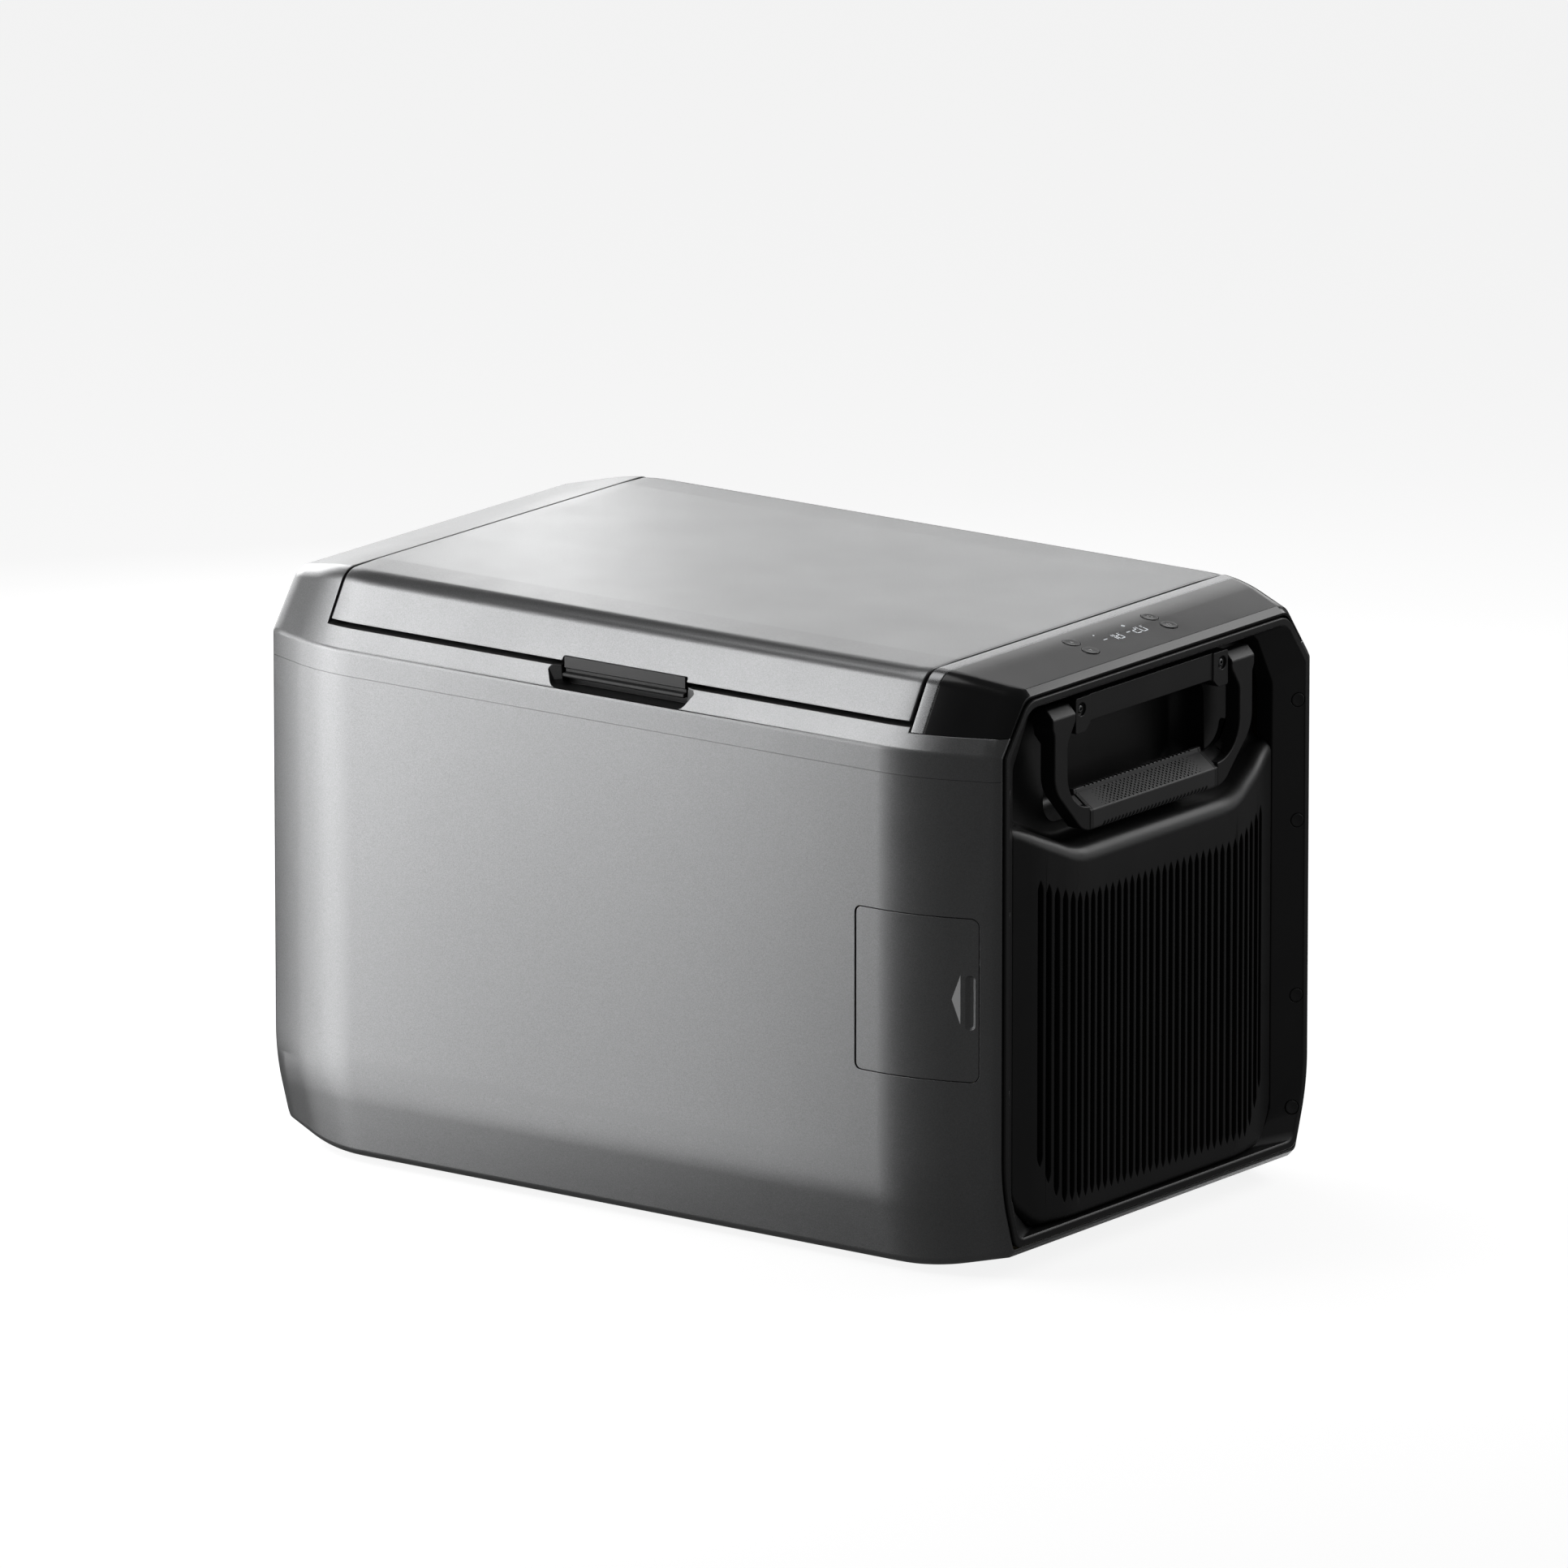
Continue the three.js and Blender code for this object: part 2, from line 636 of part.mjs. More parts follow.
function controls(parent) {
  const deck = onDeck(parent);
  for (const { name, x, y } of buttonPlaces()) {
    const spot = group(deck, x, y, 0);
    piece(name, rod(BUTTON.radius, v3(0, 0, -2.6), v3(0, 0, 0.5), 24), "gloss", spot);
  }
  piece("display_module", box(-16, 14, -70, 70, -9, -5.4), "board", deck);
}

// ---------------------------------------------------------------- lid

function lidFootprint(d) {
  return between(LID.left + d, LID.right - d).intersect(above(LID_BOTTOM));
}

function lidCover() {
  const shell = outer.intersect(lidFootprint(0)).subtract(bodyForm(SKIN).intersect(lidFootprint(SKIN)));
  const recess = bodyForm(0.5).intersect(recessBlock(LID_BOTTOM + GAP, LID_BOTTOM + 10));
  const skirt = cut(joined(shell, recess), fingerRecess(), hingeNotches(430, 447));
  return skirt;
}

const PLUG_TRAY = { margin: 7, bottom: 415, wall: 2.5 };

function lidLiner() {
  const flange = bodyForm(SKIN + GAP)
    .intersect(slab(LID_BOTTOM + 0.6, LID_BOTTOM + 3))
    .intersect(between(LID.left + SKIN + 1, LID.right - SKIN - 1));
  const { margin, bottom: low, wall: t } = PLUG_TRAY;
  const tray = prism("z", cavityOutline(-margin), low, LID_BOTTOM + 3);
  const hollow = prism("z", cavityOutline(-margin - t), low + t, LID_BOTTOM + 10);
  const clearOfRecess = recessBlock(LID_BOTTOM, LID_BOTTOM + 20);
  return cut(joined(flange, tray), hollow, clearOfRecess, hingeNotches(430, 447));
}

function lidFoam() {
  const { margin, bottom: low, wall: t } = PLUG_TRAY;
  const plugFill = prism("z", cavityOutline(-margin - t - 0.4), low + t + GAP, FAR + 100);
  return plugFill.intersect(bodyForm(SKIN + 0.6)).intersect(between(LID.left + 6, LID.right - 6));
}

function lidGasket() {
  const ring = (grow, z0, z1) => prism("z", cavityOutline(grow), z0, z1);
  return ring(12, RIM_TOP + GAP, LID_BOTTOM + 0.3).subtract(ring(4, RIM_TOP - 1, LID_BOTTOM + 2));
}

const LATCH = { y: -216, z: 441, thickness: 3.2, bottom: 423, halfWidth: 58 };

function latch() {
  const { halfWidth, thickness, bottom: low, y, z } = LATCH;
  const centre = RECESS.centre;
  const plate = box(centre - halfWidth, centre + halfWidth, y - thickness, y, low, z - 1.5);
  const lip = box(centre - halfWidth, centre + halfWidth, y - thickness - 2.5, y, low, low + 3);
  return joined(plate, lip);
}

const LEAF_Y = 213.4;

function hingeLeaf(x, lid) {
  const { y, z, radius, pin } = HINGE;
  const knuckles = lid ? [[-11.6, 11.6]] : [[-24, -12], [12, 24]];
  const [bottomZ, topZ] = lid ? [z, z + 6.5] : [HINGE_NOTCH + 1.5, z - 3.4];
  const barrel = knuckles.map(([a, b]) => {
    const web = box(x + a, x + b, LEAF_Y + 1, lid ? y - 1 : y, bottomZ, topZ);
    return joined(rod(radius, v3(x + a, y, z), v3(x + b, y, z)), web);
  });
  const leaf = lid
    ? box(x - 24, x + 24, LEAF_Y, LEAF_Y + 3, z + 5.6, z + 12)
    : box(x - 24, x + 24, LEAF_Y, LEAF_Y + 4.6, HINGE_NOTCH + 1, RIM_TOP - 0.4);
  const bore = rod(pin + 0.35, v3(x - 30, y, z), v3(x + 30, y, z));
  const shape = joined(leaf, barrel);
  return lid ? shape.subtract(bore) : shape.add(rod(pin, v3(x - 24, y, z), v3(x + 24, y, z)));
}

// ---------------------------------------------------------------- battery

function batteryDoor() {
  const panel = wall.intersect(prism("y", doorOutline({ hinge: 0, free: 0 }), -FAR, -150));
  const { left, right, bottom: z0, top: z1, depth } = FINGER_SLOT;
  const slot = prism("y", rounded(rectangle(left, right, z0, z1), 3.6, 4), -FAR, -150);
  const { x, y } = DOOR_PIVOT;
  const knuckles = [[168, 188], [254, 274]].map(([a, b]) => rod(4, v3(x, y, a), v3(x, y, b)));
  const bore = rod(2.4, v3(x, y, 150), v3(x, y, 300));
  return cut(joined(panel, knuckles), bore, slot.subtract(bodyForm(depth)));
}

function doorPin() {
  const { x, y } = DOOR_PIVOT;
  return rod(2, v3(x, y, BAY.bottom + GAP), v3(x, y, BAY.top - GAP));
}

const BAY = { left: 245, right: 313.6, front: -206, back: -60, bottom: 160, top: 282, wall: 2.5 };

function batteryBay() {
  const { left, right, front, back, bottom: z0, top: z1, wall: t } = BAY;
  const shell = box(left, right, front, back, z0, z1);
  const room = box(left + t, right - t, front - 5, back - t, z0 + t, z1 - t);
  const { x, y } = DOOR_PIVOT;
  const lugs = [[z0, z0 + 4], [z1 - 4, z1]].map(([a, b]) => {
    const tip = [v2(x - 1.8, y + 4.5), v2(x + 0.2, y - 1.8), v2(x + 6, y - 1.8)];
    const arm = prism("z", [...tip, v2(256, front), v2(left, front + 6)], a, b);
    return arm.subtract(rod(2.35, v3(x, y, a - 1), v3(x, y, b + 1)));
  });
  return cut(shell, room).add(joined(lugs));
}

function batteryPack() {
  const { left, right, front, back, bottom: z0, top: z1, wall: t } = BAY;
  const edge = t + 1;
  const outline = rounded(rectangle(left + edge, right - edge, z0 + edge, z1 - edge), 6);
  const block = prism("y", outline, front + 3, back - edge);
  const pull = box(left + 20, right - 20, front - 1, front + 9, z1 - 30, z1 - 12);
  return block.subtract(pull);
}

// ---------------------------------------------------------------- cooling unit

function compressor() {
  const at = (z) => v3(271, 118, z);
  const can = rod(43, at(26), at(104), 28);
  const dome = rod(43, at(104), at(118), 28, 24);
  const base = box(226, 316, 82, 154, 21, 27);
  const terminals = box(240, 300, 66, 90, 45, 85);
  return joined(can, dome, base, terminals);
}

function condenser() {
  const fins = Array.from({ length: 9 }, (_, i) => box(262, 284, -6 + i * 16, -1 + i * 16, 128, 252));
  const pipes = [145, 190, 235].map((z) => rod(4, v3(273, -6, z), v3(273, 125, z), 8));
  return joined(fins, pipes);
}

function fanShroud() {
  const { x, y, z, radius } = FAN;
  const frame = box(x - 13, x + 7, y - 60, y + 60, z - 60, z + 60);
  const throat = rod(radius + 3, v3(x - 9, y, z), v3(x + 10, y, z), 32);
  const back = rod(radius - 8, v3(x - 20, y, z), v3(x + 1, y, z), 24);
  const motor = rod(14, v3(x - 13, y, z), v3(x - 9.5, y, z));
  const axle = rod(2.4, v3(x - 12, y, z), v3(x + 4, y, z), 16);
  const acrossY = box(x - 13, x - 9.5, y - 60, y + 60, z - 3, z + 3);
  const acrossZ = box(x - 13, x - 9.5, y - 3, y + 3, z - 60, z + 60);
  return joined(cut(frame, throat, back), acrossY, acrossZ, motor, axle);
}

function fanRotor() {
  const { x, y, z, radius } = FAN;
  const hub = rod(18, v3(x - 8, y, z), v3(x + 5, y, z), 24);
  const blades = Array.from({ length: 7 }, (_, i) => {
    const blade = new THREE.BoxGeometry(2.2, 17, radius - 14);
    blade.rotateZ(THREE.MathUtils.degToRad(38)).translate(0, 0, (radius + 14) / 2);
    blade.rotateX((i * 2 * Math.PI) / 7).translate(x - 1.5, y, z);
    return solid(blade);
  });
  return joined(hub, blades).subtract(rod(2.8, v3(x - 20, y, z), v3(x + 20, y, z), 16));
}

function powerBoard() {
  const heatsink = Array.from({ length: 9 }, (_, i) => box(229, 243, -196 + i * 8, -192 + i * 8, 305, 395));
  return joined(box(243, 247, -200, -122, 300, 400), heatsink, box(247, 268, -185, -150, 320, 345));
}

const INLET = { left: 232, right: 296, bottom: 96, top: 136 };

function inletPanel() {
  const { left, right, bottom: z0, top: z1 } = INLET;
  const plate = box(left + 0.6, right - 0.6, 208, 222, z0 + 0.6, z1 - 0.6);
  const middle = (z0 + z1) / 2;
  const sockets = [left + 18, right - 18].map((x) => rod(9, v3(x, 212, middle), v3(x, 240, middle)));
  return cut(plate, sockets);
}

// ---------------------------------------------------------------- assembly

const root = new THREE.Group();

const tub = group(root);
piece("lower_shell", lowerShell(), "paint", tub);
piece("upper_rim", upperRim(), "paint", tub);
piece("liner", liner(), "liner", tub);
piece("divider", divider(), "liner", tub);
piece("evaporator", evaporator(), "steel", tub);
piece("insulation", insulation(), "foam", tub);
for (const [depth, y] of Object.entries({ front: -FOOT.y, rear: FOOT.y })) {
  piece("foot_" + depth + "_left", foot(-FOOT.x, y), "rubber", tub);
  piece("foot_" + depth + "_right", foot(FOOT.x, y), "rubber", tub);
}

endAssembly("right", { turned: false, pocketX: 290, slotted: true });
endAssembly("left", { turned: true, pocketX: 303, slotted: false });

const deckParts = group(root);
piece("deck_trim", deckTrim(), "trim", deckParts);
piece("control_panel", controlPanel(), "gloss", deckParts);
controls(deckParts);

const lid = group(root);
piece("lid_cover", lidCover(), "paint", lid);
piece("lid_liner", lidLiner(), "liner", lid);
piece("lid_foam", lidFoam(), "foam", lid);
piece("lid_gasket", lidGasket(), "rubber", lid);
piece("latch", latch(), "black", lid);
HINGE.places.forEach((x, i) => {
  const side = ["left", "right"][i];
  piece("lid_hinge_" + side, hingeLeaf(x, true), "black", lid);
  piece("rim_hinge_" + side, hingeLeaf(x, false), "black", tub);
});

const power = group(root);
piece("battery_door", batteryDoor(), "paint", power);
piece("door_pin", doorPin(), "steel", power);
piece("battery_bay", batteryBay(), "black", power);
piece("battery_pack", batteryPack(), "cell", power);
piece("inlet_panel", inletPanel(), "black", power);

const cooling = group(root);
piece("compressor", compressor(), "cell", cooling);
piece("condenser", condenser(), "copper", cooling);
piece("fan_shroud", fanShroud(), "black", cooling);
piece("fan_rotor", fanRotor(), "black", cooling);
piece("power_board", powerBoard(), "board", cooling);

export default root;
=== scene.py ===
"""Looks of a portable two-zone compressor cool box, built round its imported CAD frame.

Lengths in this file are millimetres in the frame's own axes: +X to the control and vent end, -Y to the
front, +Z up. Each mesh is scaled to metres as it is made.
"""
import math

import bmesh
import bpy
from mathutils import Matrix, Vector

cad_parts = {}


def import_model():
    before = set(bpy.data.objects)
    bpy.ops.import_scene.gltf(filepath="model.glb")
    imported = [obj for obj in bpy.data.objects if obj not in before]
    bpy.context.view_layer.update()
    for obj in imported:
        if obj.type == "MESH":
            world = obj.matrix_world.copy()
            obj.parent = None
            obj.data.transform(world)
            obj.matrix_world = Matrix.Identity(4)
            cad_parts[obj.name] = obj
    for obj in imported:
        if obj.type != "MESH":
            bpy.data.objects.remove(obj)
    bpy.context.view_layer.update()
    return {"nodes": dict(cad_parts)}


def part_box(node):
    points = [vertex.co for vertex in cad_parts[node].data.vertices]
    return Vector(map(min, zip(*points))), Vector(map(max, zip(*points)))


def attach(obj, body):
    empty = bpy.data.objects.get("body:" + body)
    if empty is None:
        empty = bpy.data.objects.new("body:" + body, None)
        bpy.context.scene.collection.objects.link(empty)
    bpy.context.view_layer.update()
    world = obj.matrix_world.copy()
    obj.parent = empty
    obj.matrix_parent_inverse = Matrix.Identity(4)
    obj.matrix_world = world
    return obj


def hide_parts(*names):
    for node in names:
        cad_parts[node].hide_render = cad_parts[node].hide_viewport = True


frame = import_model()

MM = 0.001
QUARTER = math.pi / 2
TURN = 2 * math.pi
scene = bpy.context.scene


def edges(node):
    """A CAD node's lowest and highest corners."""
    low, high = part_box(node)
    return low / MM, high / MM


def middle(node):
    low, high = edges(node)
    return (low + high) / 2


# ------------------------------------------------------------------ places, read from the frame

SHELL_LOW, SHELL_HIGH = edges("lower_shell")
HALF_LENGTH, HALF_WIDTH, PART_LINE = SHELL_HIGH
BOTTOM = SHELL_LOW.z
LID_LOW, LID_HIGH = edges("lid_cover")
LID_LEFT, LID_RIGHT, LID_BOTTOM, TOP = LID_LOW.x, LID_HIGH.x, LID_LOW.z, LID_HIGH.z
TRIM_LOW, TRIM_HIGH = edges("deck_trim")
PANEL_LOW = edges("control_panel")[0]
END_X = edges("right_end_frame")[1].x
FACE_X = edges("vent_panel")[1].x
CAVITY_LOW, CAVITY_HIGH = edges("liner")
DOOR_LOW, DOOR_HIGH = edges("battery_door")
LATCH_X = middle("latch").x

# ------------------------------------------------------------------ shape of the painted body

SKIN = 3
BEVEL = 5  # at both ends of the body
GAP = 0.3
SEAM = 0.25  # between the lower shell and the rim
RIM_TOP = LID_BOTTOM - 3.5  # the ledge that the lid closes over
SIDE_TAPER = (34.3, 62.7, math.radians(21))  # straight run from the end, arc, final angle
DECK_TAPER = (35, 50, math.radians(12))
LOW_CHAMFER = (17.4, 73)  # width, height of its upper corner
TOP_CHAMFER = (33, 416)
CORNER_RADII = (10, 160, 8, 20)  # from the bottom corner up
LID_CREASE = 156  # half the width of the lid's flat middle
LID_FALL = 1.1  # drop of the lid's top from there to its rounded edge
LID_CLEARANCE = 2
FAR = 600  # beyond the box in any direction


def taper(shape, distance):
    """How far a wall has moved inwards at a distance from the body's end."""
    straight, arc_length, angle = shape
    run = straight + arc_length - distance
    if run <= 0:
        return 0
    radius = arc_length / math.sin(angle)
    if run <= arc_length:
        return radius - math.sqrt(radius * radius - run * run)
    return radius * (1 - math.cos(angle)) + (run - arc_length) * math.tan(angle)


def inset(points, distance):
    """Moves every edge of a counter-clockwise outline inwards."""
    moved = []
    for before, p, after in zip(points[-1:] + points[:-1], points, points[1:] + points[:1]):
        a = (p - before).normalized()
        b = (after - p).normalized()
        moved.append(p + Vector((-a.y - b.y, a.x + b.x)) * (distance / (1 + a.dot(b))))
    return moved


def turned(p, angle):
    cosine, sine = math.cos(angle), math.sin(angle)
    return Vector((p.x * cosine - p.y * sine, p.x * sine + p.y * cosine))


def rounded(points, radii, steps=8, closed=True):
    """Rounds each corner of an outline with an arc of its own radius."""
    points = [Vector(p) for p in points]
    if not isinstance(radii, (list, tuple)):
        radii = [radii] * len(points)
    out = []
    for i, (p, radius) in enumerate(zip(points, radii)):
        if radius <= 0 or (not closed and i in (0, len(points) - 1)):
            out.append(p.copy())
            continue
        a = (points[i - 1] - p).normalized()
        b = (points[(i + 1) % len(points)] - p).normalized()
        half = math.acos(max(-1, min(1, a.dot(b)))) / 2
        centre = p + (a + b).normalized() * (radius / math.sin(half))
        start = p + a * (radius / math.tan(half)) - centre
        sweep = math.copysign(math.pi - 2 * half, b.x * a.y - b.y * a.x)
        out += [centre + turned(start, sweep * k / steps) for k in range(steps + 1)]
    return out


def rectangle(x0, x1, y0, y1):
    return [Vector((x0, y0)), Vector((x1, y0)), Vector((x1, y1)), Vector((x0, y1))]


def mirrored(half):
    """Completes an outline given as its +y half, bottom to top."""
    half = [Vector(p) for p in half]
    return half + [Vector((-p.x, p.y)) for p in reversed(half)]


def body_corners(x):
    """The body's eight corners in the (y, z) plane at a station along X."""
    distance = max(HALF_LENGTH - abs(x), BEVEL)
    half = HALF_WIDTH - taper(SIDE_TAPER, distance)
    rise = taper(DECK_TAPER, distance)
    return mirrored([
        (half - LOW_CHAMFER[0], BOTTOM + rise),
        (half, LOW_CHAMFER[1]),
        (half, TOP_CHAMFER[1]),
        (half - TOP_CHAMFER[0], TOP - rise),
    ])


def body_ring(x, d=0.0):
    radii = [max(r - d, 1) for r in CORNER_RADII]
    return rounded(inset(body_corners(x), d), radii + radii[::-1])


def half_path(x, d=0.0, low=None, high=None, fall=0.0):
    """The +y half of the body's outline, from the bottom centre up to the top centre.

    low and high cut it off at a height. fall makes the top drop a little from a crease to its corner.
    """
    corners = inset(body_corners(x), d)[:4]
    radii = [max(r - d, 1) for r in CORNER_RADII]
    points = [Vector((0, corners[0].y))] + corners + [Vector((0, corners[3].y))]
    radii = [0] + radii + [0]
    if fall:
        crease = Vector((LID_CREASE, corners[3].y))
        points[4] = points[4] - Vector((0, fall))
        points.insert(5, crease)
        radii.insert(5, 60)
    kept = []
    for i, (p, radius) in enumerate(zip(points, radii)):
        if (low is None or p.y >= low) and (high is None or p.y <= high):
            kept.append((p, radius))
        if i + 1 < len(points):
            q = points[i + 1]
            for level in (low, high):
                if level is not None and p.y < level < q.y:
                    kept.append((p.lerp(q, (level - p.y) / (q.y - p.y)), 0))
    return rounded([p for p, _ in kept], [r for _, r in kept], closed=False)


def arch(half):
    """A path over the top, from the +y side to the -y side."""
    return half + [Vector((-p.x, p.y)) for p in reversed(half[:-1])]


def trough(half):
    """A path under the bottom, from the +y side to the -y side."""
    return half[::-1] + [Vector((-p.x, p.y)) for p in half[1:]]


def stations(start=-1000.0, end=1000.0):
    """Stations along X, closer together where the walls curve."""
    limit = HALF_LENGTH - BEVEL
    straight = HALF_LENGTH - SIDE_TAPER[0] - SIDE_TAPER[1]
    curved_end = HALF_LENGTH - SIDE_TAPER[0]
    places = [straight * k / 4 for k in range(5)]
    places += [straight + (curved_end - straight) * k / 20 for k in range(1, 21)]
    places += [curved_end + (limit - curved_end) * k / 3 for k in range(1, 4)]
    places = sorted({-x for x in places} | set(places))
    inside = [x for x in places if start + 0.5 < x < end - 0.5]
    return [max(start, -limit)] * (start > -HALF_LENGTH) + inside + [min(end, limit)] * (end < HALF_LENGTH)


# ------------------------------------------------------------------ mesh tools


def make(vertices, faces):
    """A new mesh object, with its doubled points merged and its faces turned outwards."""
    mesh = bpy.data.meshes.new("mesh")
    mesh.from_pydata([Vector(v) * MM for v in vertices], [], faces)
    shaped = bmesh.new()
    shaped.from_mesh(mesh)
    bmesh.ops.remove_doubles(shaped, verts=shaped.verts, dist=1e-6)
    bmesh.ops.recalc_face_normals(shaped, faces=shaped.faces)
    shaped.to_mesh(mesh)
    shaped.free()
    obj = bpy.data.objects.new("piece", mesh)
    scene.collection.objects.link(obj)
    return obj


def loft(rings, looped=False):
    """Skins a row of closed rings, and caps the ends or joins the last ring to the first."""
    count = len(rings[0])
    faces = []
    spans = len(rings) if looped else len(rings) - 1
    for k in range(spans):
        a, b = k * count, (k + 1) % len(rings) * count
        for i in range(count):
            j = (i + 1) % count
            faces.append((a + i, a + j, b + j, b + i))
    if not looped:
        faces.append(tuple(range(count))[::-1])
        faces.append(tuple(range((len(rings) - 1) * count, len(rings) * count)))
    return make([p for ring in rings for p in ring], faces)


def at_x(points, x):
    return [(x, p.x, p.y) for p in points]


def at_y(points, y):
    return [(p.x, y, p.y) for p in points]


def at_z(points, z):
    return [(p.x, p.y, z) for p in points]


PLACERS = {"x": at_x, "y": at_y, "z": at_z}


def prism(axis, outline, start, end):
    """Extrudes an outline: "x" takes (y, z) points, "y" takes (x, z) and "z" takes (x, y)."""
    outline = [Vector(p) for p in outline]
    return loft([PLACERS[axis](outline, start), PLACERS[axis](outline, end)])


def box(x0, x1, y0, y1, z0, z1):
    return prism("z", rectangle(x0, x1, y0, y1), z0, z1)


def lathe(profile, segments=48):
    """Turns a closed (radius, height) profile round the Z axis."""
    turns = [TURN * k / segments for k in range(segments)]
    rings = []
    for radius, height in profile:
        rings.append([(radius * math.cos(t), radius * math.sin(t), height) for t in turns])
    return loft(rings)


def placed(obj, centre, direction=(0, 0, 1)):
    """Turns an object's +Z to a direction and moves it to a place."""
    turn = Vector(direction).to_track_quat("Z", "Y").to_matrix().to_4x4()
    obj.data.transform(Matrix.Translation(Vector(centre) * MM) @ turn)
    return obj


def rod(radius, start, end, segments=32):
    start, end = Vector(start), Vector(end)
    length = (end - start).length
    return placed(lathe([(radius, 0), (radius, length)], segments), start, end - start)


def apply(obj):
    """Replaces an object's mesh with the one that its modifiers make."""
    graph = bpy.context.evaluated_depsgraph_get()
    mesh = bpy.data.meshes.new_from_object(obj.evaluated_get(graph))
    obj.modifiers.clear()
    obj.data = mesh
    return obj


def merged(objects):
    """Puts meshes that don't touch into one object."""
    objects = list(objects)
    shaped = bmesh.new()
    for obj in objects:
        shaped.from_mesh(obj.data)
        bpy.data.objects.remove(obj)
    mesh = bpy.data.meshes.new("mesh")
    shaped.to_mesh(mesh)
    shaped.free()
    obj = bpy.data.objects.new("piece", mesh)
    scene.collection.objects.link(obj)
    return obj


def combine(target, tools, operation):
    for tool in tools:
        modifier = target.modifiers.new(operation, "BOOLEAN")
        modifier.operation = operation
        modifier.solver = "MANIFOLD"
        modifier.object = tool
        apply(target)
        bpy.data.objects.remove(tool)
    return target


def cut(target, *tools):
    return combine(target, tools, "DIFFERENCE")


def join(target, *tools):
    return combine(target, tools, "UNION")


def common(target, *tools):
    return combine(target, tools, "INTERSECT")


def soften(obj, width=0.4, segments=2, angle=32, seam=None):
    """Rounds every edge sharper than an angle, apart from those along a seam's height."""
    shaped = bmesh.new()
    shaped.from_mesh(obj.data)
    bmesh.ops.remove_doubles(shaped, verts=shaped.verts, dist=2e-6)
    bmesh.ops.dissolve_limit(shaped, angle_limit=math.radians(0.3), verts=shaped.verts, edges=shaped.edges)
    weights = shaped.edges.layers.float.new("bevel_weight_edge")
    for edge in shaped.edges:
        on_seam = seam is not None and all(abs(v.co.z - seam * MM) < 0.5 * MM for v in edge.verts)
        if not on_seam and len(edge.link_faces) == 2 and edge.calc_face_angle() > math.radians(angle):
            edge[weights] = 1
    shaped.to_mesh(obj.data)
    shaped.free()
    modifier = obj.modifiers.new("edges", "BEVEL")
    modifier.width = width * MM
    modifier.segments = segments
    modifier.limit_method = "WEIGHT"
    modifier.use_clamp_overlap = False
    return apply(obj)


def finish(obj, name, look, body="body", stands_for=None, sharp=50):
    """Names a piece, smooths its shading, gives it its material and hangs it on its body."""
    mesh = obj.data
    mesh.polygons.foreach_set("use_smooth", [True] * len(mesh.polygons))
    mesh.set_sharp_from_angle(angle=math.radians(sharp))
    weighted = obj.modifiers.new("normals", "WEIGHTED_NORMAL")
    weighted.keep_sharp = True
    obj.name = name
    mesh.name = name
    mesh.materials.clear()
    mesh.materials.append(LOOKS[look][0])
    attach(obj, body)
    if stands_for:
        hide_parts(stands_for)
    return obj


def fine(obj, node, look, body="body", width=0.4, segments=2, seam=None):
    """Finishes the detailed mesh that stands for a CAD node."""
    if width:
        soften(obj, width, segments, seam=seam)
    return finish(obj, node + ".fine", look, body, node)


# ------------------------------------------------------------------ materials


class Graph:
    """A short way to wire a material's nodes."""

    def __init__(self, name):
        self.material = bpy.data.materials.new(name)
        self.material.use_nodes = True
        self.tree = self.material.node_tree
        self.surface = self.tree.nodes["Principled BSDF"]
        self.place = self.add("ShaderNodeTexCoord").outputs["Object"]

    def add(self, kind, inputs=None, **settings):
        node = self.tree.nodes.new(kind)
        for key, value in settings.items():
            setattr(node, key, value)
        for key, value in (inputs or {}).items():
            if isinstance(value, bpy.types.NodeSocket):
                self.tree.links.new(value, node.inputs[key])
            else:
                node.inputs[key].default_value = value
        return node

    def noise(self, size, detail=2.0, rough=0.5, stretch=None):
        """Noise with features of about a size in millimetres."""
        place = self.place
        if stretch:
            place = self.add("ShaderNodeMapping", {"Vector": place, "Scale": stretch}).outputs["Vector"]
        inputs = {"Vector": place, "Scale": 1 / (size * MM), "Detail": detail, "Roughness": rough}
        return self.add("ShaderNodeTexNoise", inputs).outputs["Fac"]

    def spread(self, value, low, high, narrow=0.3):
        """Maps a noise's middle range to low..high."""
        inputs = {"Value": value, "From Min": 0.5 - narrow, "From Max": 0.5 + narrow}
        inputs |= {"To Min": low, "To Max": high}
        return self.add("ShaderNodeMapRange", inputs).outputs["Result"]

    def tint(self, colour, factor):
        """A colour multiplied by a factor."""
        tone = self.add("ShaderNodeCombineXYZ", {"X": factor, "Y": factor, "Z": factor}).outputs["Vector"]
        return self.add("ShaderNodeVectorMath", {0: colour, 1: tone}, operation="MULTIPLY").outputs["Vector"]

    def relief(self, height, strength, distance):
        inputs = {"Height": height, "Strength": strength, "Distance": distance * MM}
        self.set("Normal", self.add("ShaderNodeBump", inputs).outputs["Normal"])

    def set(self, key, value):
        if isinstance(value, bpy.types.NodeSocket):
            self.tree.links.new(value, self.surface.inputs[key])
        else:
            self.surface.inputs[key].default_value = value


def coated(name, colour, metallic, roughness, speckle, grain, bump):
    """A sprayed coat: a fine speckle in tone and height, over a slow drift in roughness."""
    g = Graph(name)
    spots = g.noise(grain, 3, 0.7)
    g.set("Base Color", g.tint(colour, g.spread(spots, 1 - speckle, 1 + speckle)))
    g.set("Metallic", metallic)
    g.set("Roughness", g.spread(g.noise(60), roughness - 0.02, roughness + 0.02))
    g.relief(spots, bump, grain / 2)
    return g.material


